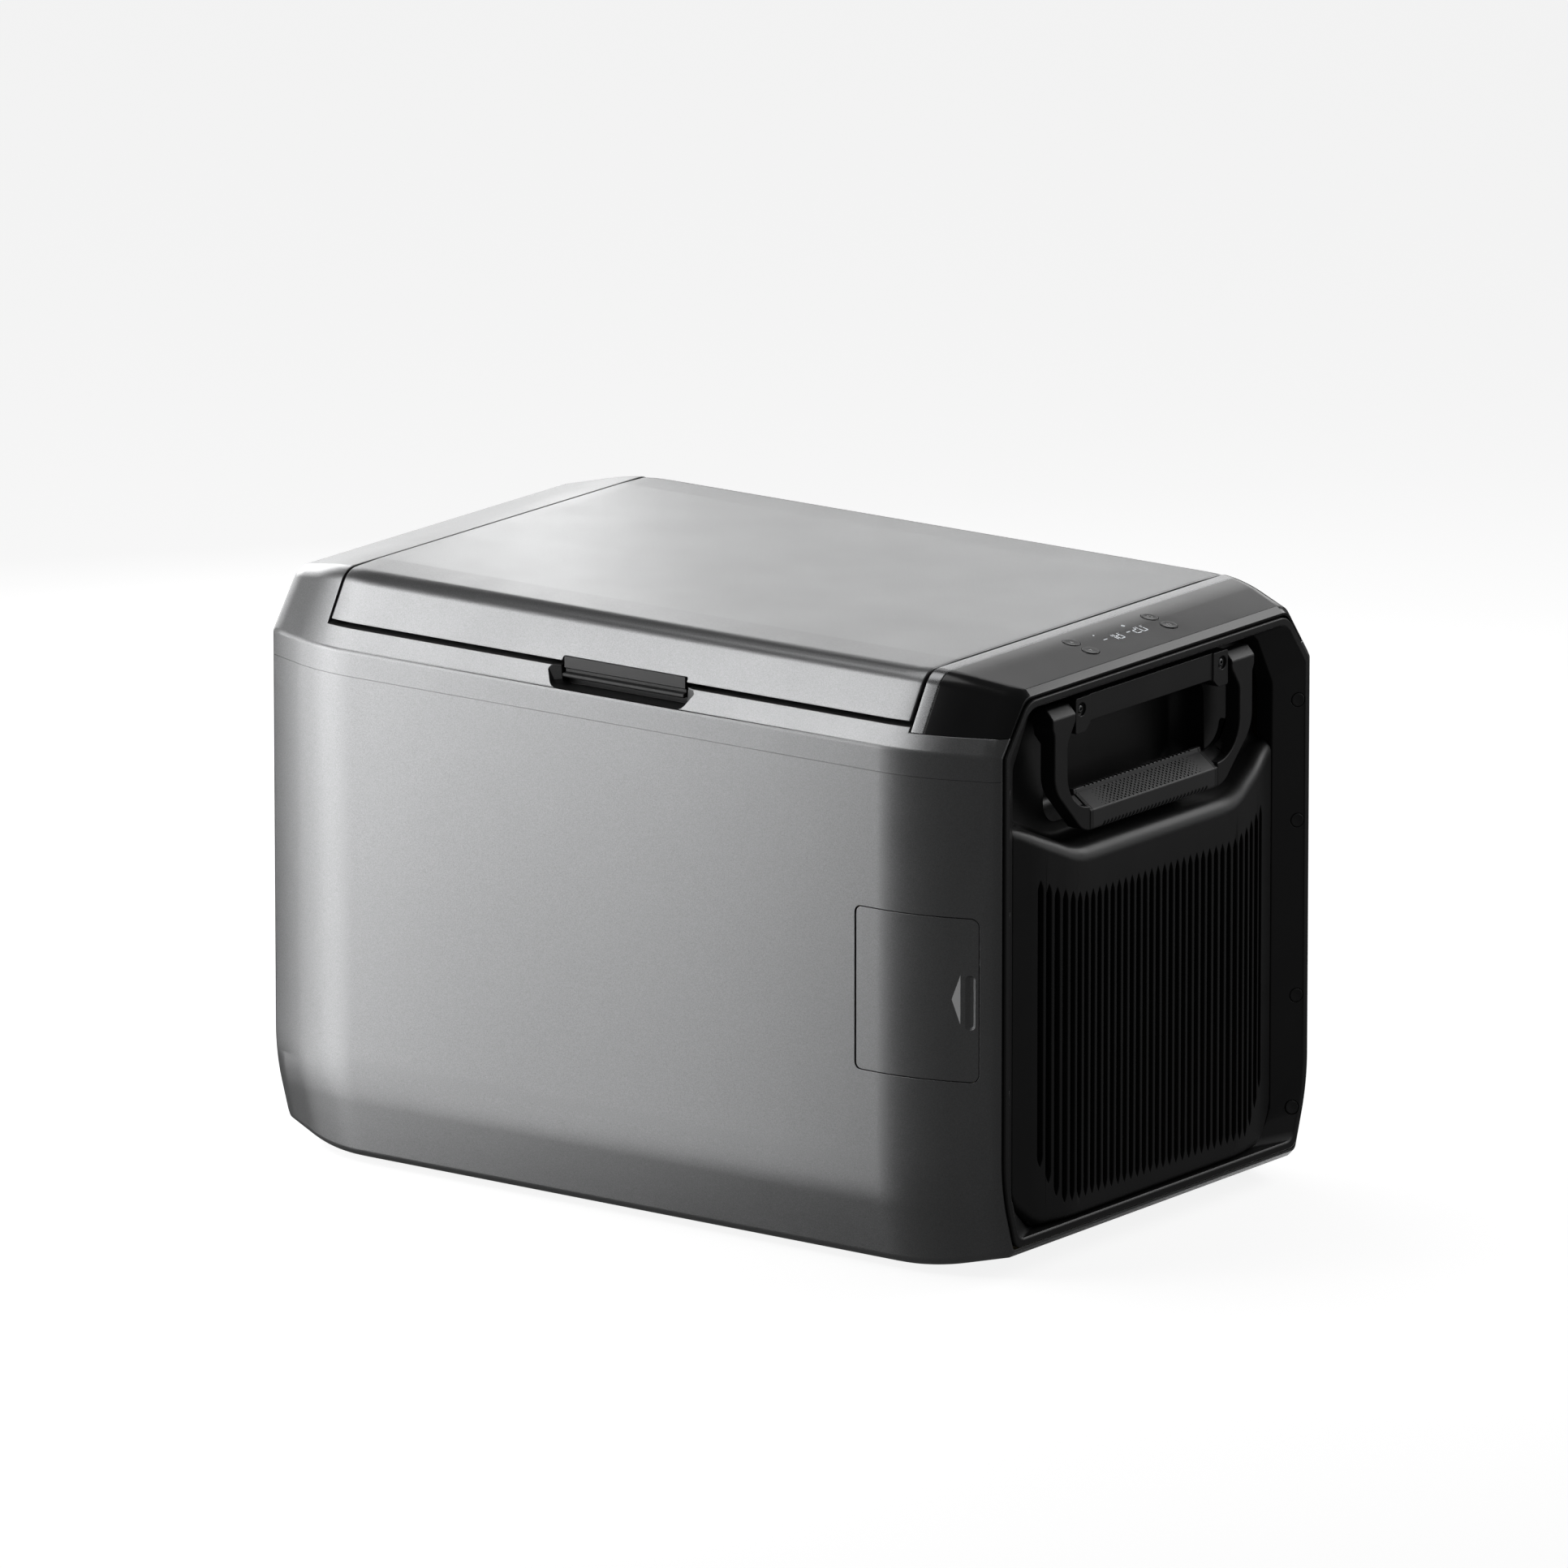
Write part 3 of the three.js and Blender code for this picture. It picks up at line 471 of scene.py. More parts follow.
def moulded(name, colour, roughness, grain=0.7, bump=0.25, drift=0.08, coat=0.0, stretch=None):
    """Moulded plastic or rubber: a fine texture, and a slow drift in tone and roughness."""
    g = Graph(name)
    drifting = g.noise(40, 3)
    g.set("Base Color", g.tint(colour, g.spread(drifting, 1 - drift, 1 + drift)))
    g.set("Roughness", g.spread(drifting, roughness - 0.03, roughness + 0.03))
    g.set("Coat Weight", coat)
    g.relief(g.noise(grain, 2, 0.6, stretch), bump, grain / 4)
    return g.material


def metal(name, colour, roughness, grain=0.4, stretch=None, drift=0.1):
    g = Graph(name)
    lines = g.noise(grain, 2, 0.5, stretch)
    g.set("Base Color", g.tint(colour, g.spread(lines, 1 - drift, 1 + drift)))
    g.set("Metallic", 1.0)
    g.set("Roughness", g.spread(lines, roughness - 0.05, roughness + 0.05))
    g.relief(lines, 0.06, 0.02)
    return g.material


def glowing(name, colour, strength):
    g = Graph(name)
    g.set("Base Color", (*colour, 1))
    g.set("Emission Color", (*colour, 1))
    g.set("Emission Strength", g.spread(g.noise(2), strength * 0.9, strength * 1.1))
    g.set("Roughness", 0.4)
    return g.material


ALONG_Y = (1, 0.02, 1)
LOOKS = {
    "paint": (coated("paint", (0.235, 0.237, 0.24), 0.9, 0.3, 0.26, 0.9, 0.16), "body_paint"),
    "trim": (metal("trim", (0.27, 0.272, 0.276), 0.26, 0.5, ALONG_Y, 0.05), "trim_silver"),
    "gloss": (moulded("gloss", (0.006, 0.006, 0.0065), 0.2, 0.6, 0.012, 0.1, 0.0, ALONG_Y), "gloss_black"),
    "black": (moulded("black", (0.015, 0.015, 0.0155), 0.4, 0.55, 0.2), "matte_black"),
    "plug": (moulded("plug", (0.010, 0.010, 0.0105), 0.55, 0.5, 0.2), "matte_black"),
    "grip": (moulded("grip", (0.045, 0.045, 0.046), 0.45, 0.5, 0.2), "grip_rubber"),
    "rubber": (moulded("rubber", (0.015, 0.015, 0.015), 0.75, 0.8, 0.3), "foot_rubber"),
    "liner": (moulded("liner", (0.55, 0.56, 0.57), 0.42, 1.0, 0.08, 0.03), "liner_plastic"),
    "foam": (moulded("foam", (0.72, 0.62, 0.38), 0.9, 1.6, 0.7, 0.12), "foam"),
    "steel": (metal("steel", (0.16, 0.162, 0.165), 0.36), "steel"),
    "sheet": (metal("sheet", (0.6, 0.61, 0.62), 0.35, 0.5, ALONG_Y), "evaporator_metal"),
    "enamel": (moulded("enamel", (0.012, 0.012, 0.013), 0.22, 3, 0.05, 0.1, 0.3), "compressor_black"),
    "case": (moulded("case", (0.03, 0.031, 0.034), 0.4, 0.5, 0.2), "case_black"),
    "coil": (metal("coil", (0.62, 0.55, 0.47), 0.4), "coil_metal"),
    "board": (moulded("board", (0.012, 0.1, 0.04), 0.4, 2, 0.3, 0.3), "board"),
    "print": (moulded("print", (0.7, 0.705, 0.71), 0.5, 0.5, 0.05), "trim_silver"),
    "ink": (moulded("ink", (0.6, 0.6, 0.605), 0.5, 0.5, 0.05), "trim_silver"),
    "lit": (glowing("lit", (0.8, 0.84, 0.88), 0.5), "gloss_black"),
}


def carry(node, look):
    """Keeps a CAD node and gives it a procedural material."""
    obj = frame["nodes"][node]
    obj.data.materials.clear()
    obj.data.materials.append(LOOKS[look][0])
    obj.data.polygons.foreach_set("use_smooth", [False] * len(obj.data.polygons))


# ------------------------------------------------------------------ painted shells


def shell(path, start=-1000.0, end=1000.0):
    """A wall of the body's own form, with its bevel where it reaches an end. path(x, d) gives its line."""
    lip = 2
    rows = [(x, 0, SKIN) for x in stations(start, end)]
    if start < -HALF_LENGTH:
        rows.insert(0, (-HALF_LENGTH, BEVEL, BEVEL + lip))
    if end > HALF_LENGTH:
        rows.append((HALF_LENGTH, BEVEL, BEVEL + lip))
    return loft([at_x(path(x, outer) + path(x, inner)[::-1], x) for x, outer, inner in rows])


def body_solid(d, start, end):
    return loft([at_x(body_ring(x, d), x) for x in stations(start, end)])


RECESS_BACK = -212
RECESS_TOP = 439
RECESS_BOTTOM = 416.5


def recess_outline(half, widest, corner):
    """The finger recess as seen from the front, widest at the gap under the lid."""
    right = [(half, RECESS_BOTTOM), (widest, RIM_TOP - 1), (widest, RIM_TOP + 0.6)]
    right += [(half, RIM_TOP + 2), (half, RECESS_TOP)]
    points = [(LATCH_X + x, z) for x, z in right] + [(LATCH_X - x, z) for x, z in right[::-1]]
    radii = [corner, 1, 0.5, 0.5, 1.5]
    return rounded(points, radii + radii[::-1], 6)


def finger_recess():
    """A scoop whose ends slope in to the latch's width."""
    mouth, waist = recess_outline(62, 71, 9), recess_outline(59.2, 60.5, 5)
    return loft([at_y(mouth, -FAR), at_y(mouth, -224), at_y(waist, -219), at_y(waist, RECESS_BACK)])


def in_recess(place, normal):
    """Whether a face belongs to the recess's inside."""
    behind_mouth = abs(place.x - LATCH_X) < 72.5 and RECESS_BOTTOM - 0.5 < place.z < RECESS_TOP + 0.8
    within = behind_mouth and -HALF_WIDTH - 0.5 < place.y < RECESS_BACK + 1
    return within and (place.y > RECESS_BACK - 2 or abs(normal.y) < 0.8)


def line_recess(obj, look):
    """Gives the recess's inside faces a second material."""
    mesh = obj.data
    mesh.materials.append(LOOKS[look][0])
    for face in mesh.polygons:
        if in_recess(face.center / MM, face.normal):
            face.material_index = 1


def recess_block(z0, z1):
    """The solid behind the skin that the recess is cut from."""
    low, high = edges("latch")
    return box(low.x - 19, high.x + 19, -FAR, RECESS_BACK + 5, z0, z1)


def hinge_notches(z0, z1):
    half = 27
    places = [middle("rim_hinge_" + side).x for side in ("left", "right")]
    return [box(x - half, x + half, 213, FAR, z0, z1) for x in places]


DOOR_RADII = (5, 6, 6, 5)
DOOR_GAP = (1.5, 0.6)  # at the hinge side and round the free sides
DOOR_RAISE = 3.0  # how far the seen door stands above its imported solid


def door_outline(hinge_gap=0.0, free_gap=0.0):
    low, high = DOOR_LOW.z + DOOR_RAISE - free_gap, DOOR_HIGH.z + DOOR_RAISE + free_gap
    sides = rectangle(DOOR_LOW.x - hinge_gap, DOOR_HIGH.x + free_gap, low, high)
    return rounded(sides, [r + free_gap for r in DOOR_RADII], 8)


def lower_shell():
    obj = shell(lambda x, d: trough(half_path(x, d, high=PART_LINE)))
    inlet_low, inlet_high = edges("inlet_panel")
    inlet = box(inlet_low.x - 0.6, inlet_high.x + 0.6, 150, FAR, inlet_low.z - 0.6, inlet_high.z + 0.6)
    cut(obj, prism("y", door_outline(*DOOR_GAP), -FAR, -150), inlet)
    return fine(obj, "lower_shell", "paint", width=0.35, seam=PART_LINE)


TUB_WALL = 2


def cavity_outline(grow):
    """The tub's inner outline seen from above, grown or shrunk all round."""
    grow -= TUB_WALL
    sides = rectangle(CAVITY_LOW.x - grow, CAVITY_HIGH.x + grow, CAVITY_LOW.y - grow, CAVITY_HIGH.y + grow)
    return rounded(sides, max(32 + grow, 1), 10)


def layer(d, x0, x1, z0, z1):
    """The part of the body, inset by d, between two stations and two heights."""
    return common(body_solid(d, x0, x1), box(-FAR, FAR, -FAR, FAR, z0, z1))


def upper_rim():
    """The painted rim: its skin, the ledge under the lid, and a wall at each side of the lid."""
    obj = shell(lambda x, d: arch(half_path(x, d, low=PART_LINE + SEAM)))
    lid_place = box(LID_LEFT - LID_CLEARANCE, LID_RIGHT + LID_CLEARANCE, -FAR, FAR, RIM_TOP, FAR)
    panel_place = box(LID_RIGHT + LID_CLEARANCE, FAR, -FAR, FAR, PANEL_LOW.z - GAP, FAR)
    cut(obj, lid_place, panel_place)
    left, right = LID_LEFT - 5, TRIM_LOW.x - 2
    seal = layer(0.5, left, right, RIM_TOP - 4, RIM_TOP)
    left_wall = layer(0.5, left, LID_LEFT - LID_CLEARANCE, RIM_TOP - 4, FAR)
    right_wall = layer(SKIN + GAP, right, right + 3, RIM_TOP - 8, FAR)
    block = common(body_solid(0.5, -120, 120), recess_block(412, RIM_TOP))
    join(obj, seal, left_wall, right_wall, block)
    cut(obj, prism("z", cavity_outline(0), 380, FAR), finger_recess(), *hinge_notches(423, FAR))
    fine(obj, "upper_rim", "paint", width=0.5, segments=3, seam=PART_LINE)
    line_recess(obj, "black")


# ------------------------------------------------------------------ lid


def lid_ring(x, d, low):
    return arch(half_path(x, d, low=low, fall=LID_FALL))


def lid_cover():
    places = stations(LID_LEFT, LID_RIGHT)
    obj = loft([at_x(lid_ring(x, 0, LID_BOTTOM), x) for x in places])
    inner = stations(LID_LEFT + SKIN, LID_RIGHT - SKIN)
    cut(obj, loft([at_x(lid_ring(x, SKIN, LID_BOTTOM - 6), x) for x in inner]))
    block = common(body_solid(0.5, -120, 120), recess_block(LID_BOTTOM + GAP, LID_BOTTOM + 9))
    join(obj, block)
    cut(obj, finger_recess(), *hinge_notches(430, 447))
    fine(obj, "lid_cover", "paint", "lid", width=0.9, segments=3)
    line_recess(obj, "black")


def lid_liner():
    """The lid's inner tray: a flat flange, and a plug with rounded edges that closes the cavity."""
    low, high = edges("lid_liner")
    flange = layer(SKIN + GAP, low.x, high.x, LID_BOTTOM + 0.6, LID_BOTTOM + 3)
    margin, edge_radius, dish = 7, 8, 1.4
    rings = [at_z(cavity_outline(-margin), LID_BOTTOM + 2)]
    for k in range(7):
        turn = QUARTER * k / 6
        shrink = margin + edge_radius * (1 - math.cos(turn))
        rings.append(at_z(cavity_outline(-shrink), low.z + edge_radius * (1 - math.sin(turn))))
    for shrink, rise in ((30, 0), (33, dish), (60, dish)):
        rings.append(at_z(cavity_outline(-margin - shrink), low.z + rise))
    obj = join(flange, loft(rings))
    cut(obj, recess_block(LID_BOTTOM, LID_BOTTOM + 20), *hinge_notches(430, 447))
    return fine(obj, "lid_liner", "liner", "lid", width=0.5)


def lid_gasket():
    """A soft strip round the cavity's mouth, narrower at its top."""
    low, high = edges("lid_gasket")
    z0, z1 = low.z, high.z
    section = rounded([(4, z0 + 0.4), (12, z0 + 0.4), (11, z1), (5, z1)], 1.2, 4)
    rings = [at_z(cavity_outline(p.x), p.y) for p in section]
    return fine(loft(rings, looped=True), "lid_gasket", "rubber", "lid", width=0)


def latch():
    """The paddle: an upper face, a shadow groove under it and a rounded lip to pull."""
    low, high = edges("latch")
    face, groove = high.y - 3.2, high.y - 1.4
    outline = rounded([
        (high.y, high.z), (face, high.z), (face, 430.2), (groove, 429.4), (groove, 427), (low.y, 426.4),
        (low.y, low.z), (high.y, low.z),
    ], [0.4, 0.8, 0.5, 0.4, 0.4, 1.4, 1.4, 0.4], 4)
    obj = prism("x", outline, low.x, high.x)
    return fine(obj, "latch", "black", "latch", width=0.5)


def hinge(side):
    """One lid hinge: a two-knuckle leaf on the rim with its pin, and a one-knuckle leaf on the lid."""
    x = middle("rim_hinge_" + side).x
    y, z = 226, 434  # the hinge's axis
    leaf_y, radius, pin = 213.4, 5.4, 2.4
    rim = box(x - 24, x + 24, leaf_y, leaf_y + 4.6, 424, RIM_TOP - 0.4)
    for a, b in ((-24, -12), (12, 24)):
        join(rim, rod(radius, (x + a, y, z), (x + b, y, z)), box(x + a, x + b, leaf_y + 1, y, 424.5, z - 3.4))
    join(rim, rod(pin, (x - 24.6, y, z), (x + 24.6, y, z)))
    fine(rim, "rim_hinge_" + side, "black")
    lid = box(x - 24, x + 24, leaf_y, leaf_y + 3, z + 5.6, z + 12)
    join(lid, rod(radius, (x - 11.6, y, z), (x + 11.6, y, z)))
    join(lid, box(x - 11.6, x + 11.6, leaf_y + 1, y - 1, z, z + 6.5))
    cut(lid, rod(pin + 0.35, (x - 30, y, z), (x + 30, y, z)))
    fine(lid, "lid_hinge_" + side, "black", "lid")


# ------------------------------------------------------------------ control deck

BUTTONS = ("up", "down", "power", "set")
DECK_TILT = math.radians(11)
DECK_CENTRE = sum((middle("button_" + name) for name in BUTTONS), Vector()) / len(BUTTONS)
DECK_UP = Vector((math.sin(DECK_TILT), 0, math.cos(DECK_TILT)))
DECK_SLOPE = Vector((math.cos(DECK_TILT), 0, -math.sin(DECK_TILT)))
DECK_FACE = DECK_CENTRE + DECK_UP * 1.05


def on_deck(across, y, lift=0.0):
    """A point on the panel's face: how far towards the end, its y, and its height above the face."""
    return DECK_FACE + DECK_SLOPE * across + Vector((0, y, 0)) + DECK_UP * lift


def deck_trim():
    obj = shell(lambda x, d: arch(half_path(x, d, low=TRIM_LOW.z)), TRIM_LOW.x, TRIM_HIGH.x)
    return fine(obj, "deck_trim", "trim", width=0.4, segments=3)


def control_panel():
    obj = shell(lambda x, d: arch(half_path(x, d, low=PANEL_LOW.z)), PANEL_LOW.x, 1000)
    for name in BUTTONS:
        place = middle("button_" + name)
        cut(obj, rod(7.3, place - DECK_UP * 9, place + DECK_UP * 9, 64))
    return fine(obj, "control_panel", "gloss", width=0.35, segments=3)


def glyph(marks, across, y, name, look, body="body", lift=0.07, thickness=0.12):
    """A thin printed or lit sign on the deck. A mark's x runs along +y and its y runs away from the user."""
    pieces = []
    for mark in marks:
        rings = []
        for height in (lift - thickness, lift):
            rings.append([on_deck(across - p.y, y + p.x, height) for p in mark])
        pieces.append(loft(rings))
    return finish(merged(pieces), name, look, body)


def segment(x0, y0, x1, y1, width):
    """One bar of a seven-segment digit, with pointed ends."""
    a, b = Vector((x0, y0)), Vector((x1, y1))
    along = (b - a).normalized()
    side = Vector((-along.y, along.x)) * width / 2
    tip = along * width / 2
    a, b = a + along * 0.25, b - along * 0.25
    return [a, a + tip - side, b - tip - side, b, b - tip + side, a + tip + side]


DIGITS = {"0": "abcdef", "1": "bc", "2": "abged", "8": "abcdefg", "-": "g"}


def digit(character, x, height=11.0, width=5.6, bar=0.8):
    """The lit bars of one digit, centred in height; x is its left edge."""
    h = height / 2
    right = x + width
    bars = {
        "a": (x, h, right, h), "b": (right, 0, right, h), "c": (right, -h, right, 0), "d": (x, -h, right, -h),
        "e": (x, -h, x, 0), "f": (x, 0, x, h), "g": (x, 0, right, 0),
    }
    return [segment(*bars[name], bar) for name in DIGITS[character]]


def around(radius, angle):
    return Vector((radius * math.cos(angle), radius * math.sin(angle)))


def circle(radius, steps=24, centre=Vector((0, 0))):
    return [centre + around(radius, TURN * k / steps) for k in range(steps)]


def band(radius, width, start=0.0, end=TURN, steps=20):
    """Part of a ring as short quads, each its own mark."""
    angles = [start + (end - start) * k / steps for k in range(steps + 1)]
    marks = []
    for a, b in zip(angles, angles[1:]):
        outer = radius + width
        marks.append([around(radius, a), around(radius, b), around(outer, b), around(outer, a)])
    return marks


def read_out(characters, y, name):
    """One zone's temperature, with a small degree dot after it."""
    pitch = 8
    half = len(characters) / 2 * pitch
    marks = [circle(0.6, 8, Vector((half + 1, 3.6)))]
    for i, character in enumerate(characters):
        marks += digit(character, i * pitch - half + 1.1)
    glyph(marks, 1.2, y, name, "lit")


TRIANGLE = [Vector((-1.7, -1.2)), Vector((1.7, -1.2)), Vector((0, 1.5))]
TOOTH = rectangle(-0.35, 0.35, 1.8, 2.5)
ICONS = {
    "up": [TRIANGLE],
    "down": [[-p for p in TRIANGLE]],
    "power": band(1.7, 0.45, QUARTER + 0.5, QUARTER + TURN - 0.5) + [rectangle(-0.22, 0.22, 0.6, 2.6)],
    "set": band(1.2, 0.4) + [[turned(p, k * TURN / 6) for p in TOOTH] for k in range(6)],
}


def button(name):
    """A round button with a shallow dish and its sign."""
    node = "button_" + name
    place = middle(node)
    radius, half = 6.8, 1.55
    profile = [
        (radius, -half), (radius, half - 0.6), (radius - 0.15, half - 0.3), (radius - 0.45, half - 0.2),
        (radius - 1.4, half - 0.21), (radius - 3.4, half - 0.27), (1, half - 0.3),
    ]
    obj = placed(lathe(profile, 64), place, DECK_UP)
    fine(obj, node, "gloss", node, width=0)
    across = (place - DECK_CENTRE).dot(DECK_SLOPE)
    glyph(ICONS[name], across, place.y, node + "_mark", "ink", node, lift=0.32, thickness=0.2)


def controls():
    for name in BUTTONS:
        button(name)
    read_out("-18", -13, "readout_large_zone")
    read_out("-20", 17, "readout_small_zone")
    glyph([circle(0.8)], -9, -23, "status_lamp", "lit")
    glyph(band(1.1, 0.5) + [rectangle(-0.25, 0.25, -0.9, 0.9)], -9, 16, "mode_mark", "lit")


# ------------------------------------------------------------------ ends

FRAME_INSET = 3
FRAME_RIM = 6
FLANGE_FOOT_X = 336
BAY_X = 318
FRAME_ROOT_X = 322
FLANGE_FOOT = mirrored([(150, 32), (171.3, 53), (171.3, 398), (148, 441)])
FOOT_RADII = [20, 20, 14, 14, 14, 14, 20, 20]


def end_ring(x, d):
    radii = list(CORNER_RADII)
    outline = inset(body_corners(HALF_LENGTH), BEVEL + d)
    return at_x(rounded(outline, radii + radii[::-1], 10), x)


def foot_ring(x, d=0.0):
    return at_x(rounded(inset(FLANGE_FOOT, d), FOOT_RADII, 10), x)


def half_turn(obj, wanted):
    if wanted:
        obj.data.transform(Matrix.Rotation(math.pi, 4, "Z"))
    return obj


def plug_nodes():
    return ["right_screw_plug_%d" % (i + 1) for i in range(8)]


def plug_axis(node):
    place = middle(node)
    slope = Vector((195 - 171.3, END_X - FLANGE_FOOT_X)).normalized()
    lean = 0.17 if place.z < 100 else 0
    return Vector((slope.x, -math.copysign(slope.y, place.y), lean)).normalized()


def end_frame(side):
    """A frame round the end: an outer wall, a narrow flat rim and a flange that slopes inwards."""
    wall = [(FRAME_ROOT_X, 0), (END_X - 1.2, 0), (END_X - 0.35, 0.35), (END_X, 1.2)]
    lip = [(END_X, -1.4), (END_X - 0.4, -0.5), (END_X - 1.3, 0.5)]
    flange = [(FLANGE_FOOT_X + 0.6, -0.6), (FLANGE_FOOT_X - 1, 0), (FRAME_ROOT_X, 0)]
    rings = [end_ring(x, FRAME_INSET + d) for x, d in wall]
    rings += [end_ring(x, FRAME_INSET + FRAME_RIM + d) for x, d in lip]
    rings += [foot_ring(x, d) for x, d in flange]
    obj = loft(rings, looped=True)
    if side == "right":
        wells = []
        for node in plug_nodes():
            axis = plug_axis(node)
            wells.append(rod(5.75, middle(node) - axis * 1.9, middle(node) + axis * 12, 40))
        cut(obj, merged(wells))
    half_turn(obj, side == "left")
    return fine(obj, side + "_end_frame", "black", width=0.35)


def screw_plug(node):
    """A push-in cap with a rounded edge and a shallow dish."""
    profile = [(5.4, -1.5), (5.4, 1.0), (5.2, 1.35), (4.8, 1.5), (4.1, 1.45), (1, 1.2)]
    obj = placed(lathe(profile, 48), middle(node), plug_axis(node))
    return fine(obj, node, "plug", width=0)


def face_at(y):
    """The raised panel's face: flat in the middle, then turning back in two slopes."""
    y = abs(y)
    points = [(0, FACE_X), (112, FACE_X), (146.4, FACE_X - 6.2), (171.3, FLANGE_FOOT_X)]
    return eased(points, y, 9)


def cradle_at(y):
    """Height of the cradle-shaped edge under the handle."""
    return eased([(0, 324), (101, 324), (166, 353), (180, 353)], abs(y), 14)


def eased(points, x, reach):
    """A chain of straight lines whose corners are smoothed over a reach, by averaging."""
    samples = [x + reach * (k / 8 - 1) for k in range(17)]
    total = 0.0
    for s in samples:
        s = abs(s)
        for (x0, y0), (x1, y1) in zip(points, points[1:]):
            if s <= x1 or (x1, y1) == points[-1]:
                total += y0 + (y1 - y0) * (s - x0) / (x1 - x0)
                break
    return total / len(samples)


FOOT_OUTLINE = rounded(inset(FLANGE_FOOT, 0.4), FOOT_RADII, 10)


def foot_span(y):
    """The lowest and highest points of the panel at one y, inside the frame's flange."""
    heights = []
    for p, q in zip(FOOT_OUTLINE, FOOT_OUTLINE[1:] + FOOT_OUTLINE[:1]):
        if (p.x - y) * (q.x - y) <= 0 and p.x != q.x:
            heights.append(p.y + (q.y - p.y) * (y - p.x) / (q.x - p.x))
    return min(heights), max(heights)


def panel_ring(y):
    """The raised panel's section at one y: bottom edge, face, ridge, shelf and the bay's back wall."""
    low, high = foot_span(y)
    face, ridge = face_at(y), cradle_at(y)
    back = BAY_X - 4
    depth = face - BAY_X
    outline = [(back, low), (face, low), (face, ridge), (BAY_X, ridge), (BAY_X, high), (back, high)]
    radii = [0.5, min(9, depth * 0.4), min(13, depth * 0.55), min(7, depth * 0.35), 0.5, 0.5]
    return at_y(rounded(outline, radii, 10), y)


SLOT_COUNT, SLOT_PITCH, SLOT_WIDTH, SLOT_POINT = 35, 8.55, 5.4, 9


def slot(index):
    """A louvre slot with blade-shaped ends; the outer ones are shorter."""
    y = (index - (SLOT_COUNT - 1) / 2) * SLOT_PITCH
    low = 47.6 + 34 * (max(abs(y) - 121, 0) / 25) ** 1.3
    high = 289 + 18 * (max(abs(y) - 95, 0) / 51) ** 1.5
    half = SLOT_WIDTH / 2
    steps = 5
    outline = []
    for k in range(steps + 1):
        t = k / steps
        outline.append((y + half * math.sin(QUARTER * t), low + SLOT_POINT * t))
    for k in range(steps + 1):
        t = 1 - k / steps
        outline.append((y + half * math.sin(QUARTER * t), high - SLOT_POINT * t))
    left = [(2 * y - p[0], p[1]) for p in outline[1:-1]]
    return prism("x", outline + left[::-1], BAY_X + 1, END_X + 9)


def pocket(grow, back_x):
    """The hollow behind the handle, with a rounded back."""
    rings = []
    for x, narrow in ((END_X, 0), (back_x + 14, 0), (back_x + 7, 2), (back_x + 2, 6), (back_x, 11)):
        sides = rectangle(-106 - grow + narrow, 106 + grow - narrow, 338 - grow + narrow, 415 + grow - narrow)
        rings.append(at_x(rounded(sides, 18, 8), x))
    return loft(rings)


def end_panel(side):
    slotted = side == "right"
    back_x = 290 if slotted else 303
    limit = 170.6
    columns = [-limit + 2 * limit * k / 110 for k in range(111)]
    obj = loft([panel_ring(y) for y in columns])
    back = pocket(2.5, back_x - 2.5)
    common(back, box(back_x - 10, BAY_X - 0.5, -FAR, FAR, 0, FAR))
    join(obj, back)
    face = FACE_X - 6
    plan = [(face, 112), (face - 6.2, 144), (332, 163), (290, 163)]
    plan = [Vector(p) for p in plan] + [Vector((x, -y)) for x, y in plan[::-1]]
    cut(obj, pocket(0, back_x), prism("z", plan, 38, 311), box(280, BAY_X + 1, -150, 150, 44, 310))
    if slotted:
        cut(obj, merged(slot(i) for i in range(SLOT_COUNT)))
    half_turn(obj, not slotted)
    return fine(obj, "vent_panel" if slotted else "left_end_panel", "black", width=0.6)


# ------------------------------------------------------------------ carrying handles

PIVOT_X, PIVOT_Z = 336.5, 430
HALF_SPAN, ARM, DEPTH, LOW, BAR = 130.5, 17, 20, -96, 19
GRIP = 84
FRONT = DEPTH / 2 + 0.3
SLEEVE = [Vector(p) for p in [
    (FRONT, LOW - 0.3), (FRONT, LOW + 15.4), (-4.6, LOW + 26.5), (-5.4, LOW + 25.8), (-6.2, LOW + 29.6),
    (-FRONT, LOW + 29.6), (-FRONT, LOW - 0.3),
]]
SLEEVE_RADII = [2.5, 2, 0.5, 0.2, 1, 1.5, 2.5]
SLEEVE_CORE = [Vector(p) for p in [
    (FRONT, LOW - 0.3), (FRONT, LOW + 15), (-5, LOW + 25.6), (-FRONT, LOW + 25.6), (-FRONT, LOW - 0.3),
]]


def at_pivot(obj, side):
    """Moves a piece that was drawn from its pivot to the right or left end."""
    obj.data.transform(Matrix.Translation(Vector((PIVOT_X, 0, PIVOT_Z)) * MM))
    return half_turn(obj, side == "left")


def swept_bar(inner, corner=26):
    """The deep bar under the sleeve, whose sloping top sweeps up into the arms at both ends."""
    rings = []
    reach = FRONT - 0.4
    start = inner - corner
    angles = [math.radians(a) for a in range(0, 86, 7)]
    sweep = [(start + corner * math.sin(a), corner * (1 - math.cos(a))) for a in angles]
    sweep.append((inner + 1.5, sweep[-1][1] + 3))
    stops = [(-y, rise) for y, rise in sweep[::-1]] + sweep
    for y, rise in stops:
        low = LOW + max(0.0, (abs(y) - GRIP - 2) * 1.02)
        front, crest = LOW + 15 + rise, LOW + 25.6 + rise * 0.8
        profile = [(reach, low), (reach, front), (-5, crest), (-reach, crest), (-reach, low)]
        rings.append(at_y(rounded(profile, [1.5, 2, 1.5, 2, 1.5], 4), y))
    return loft(rings)


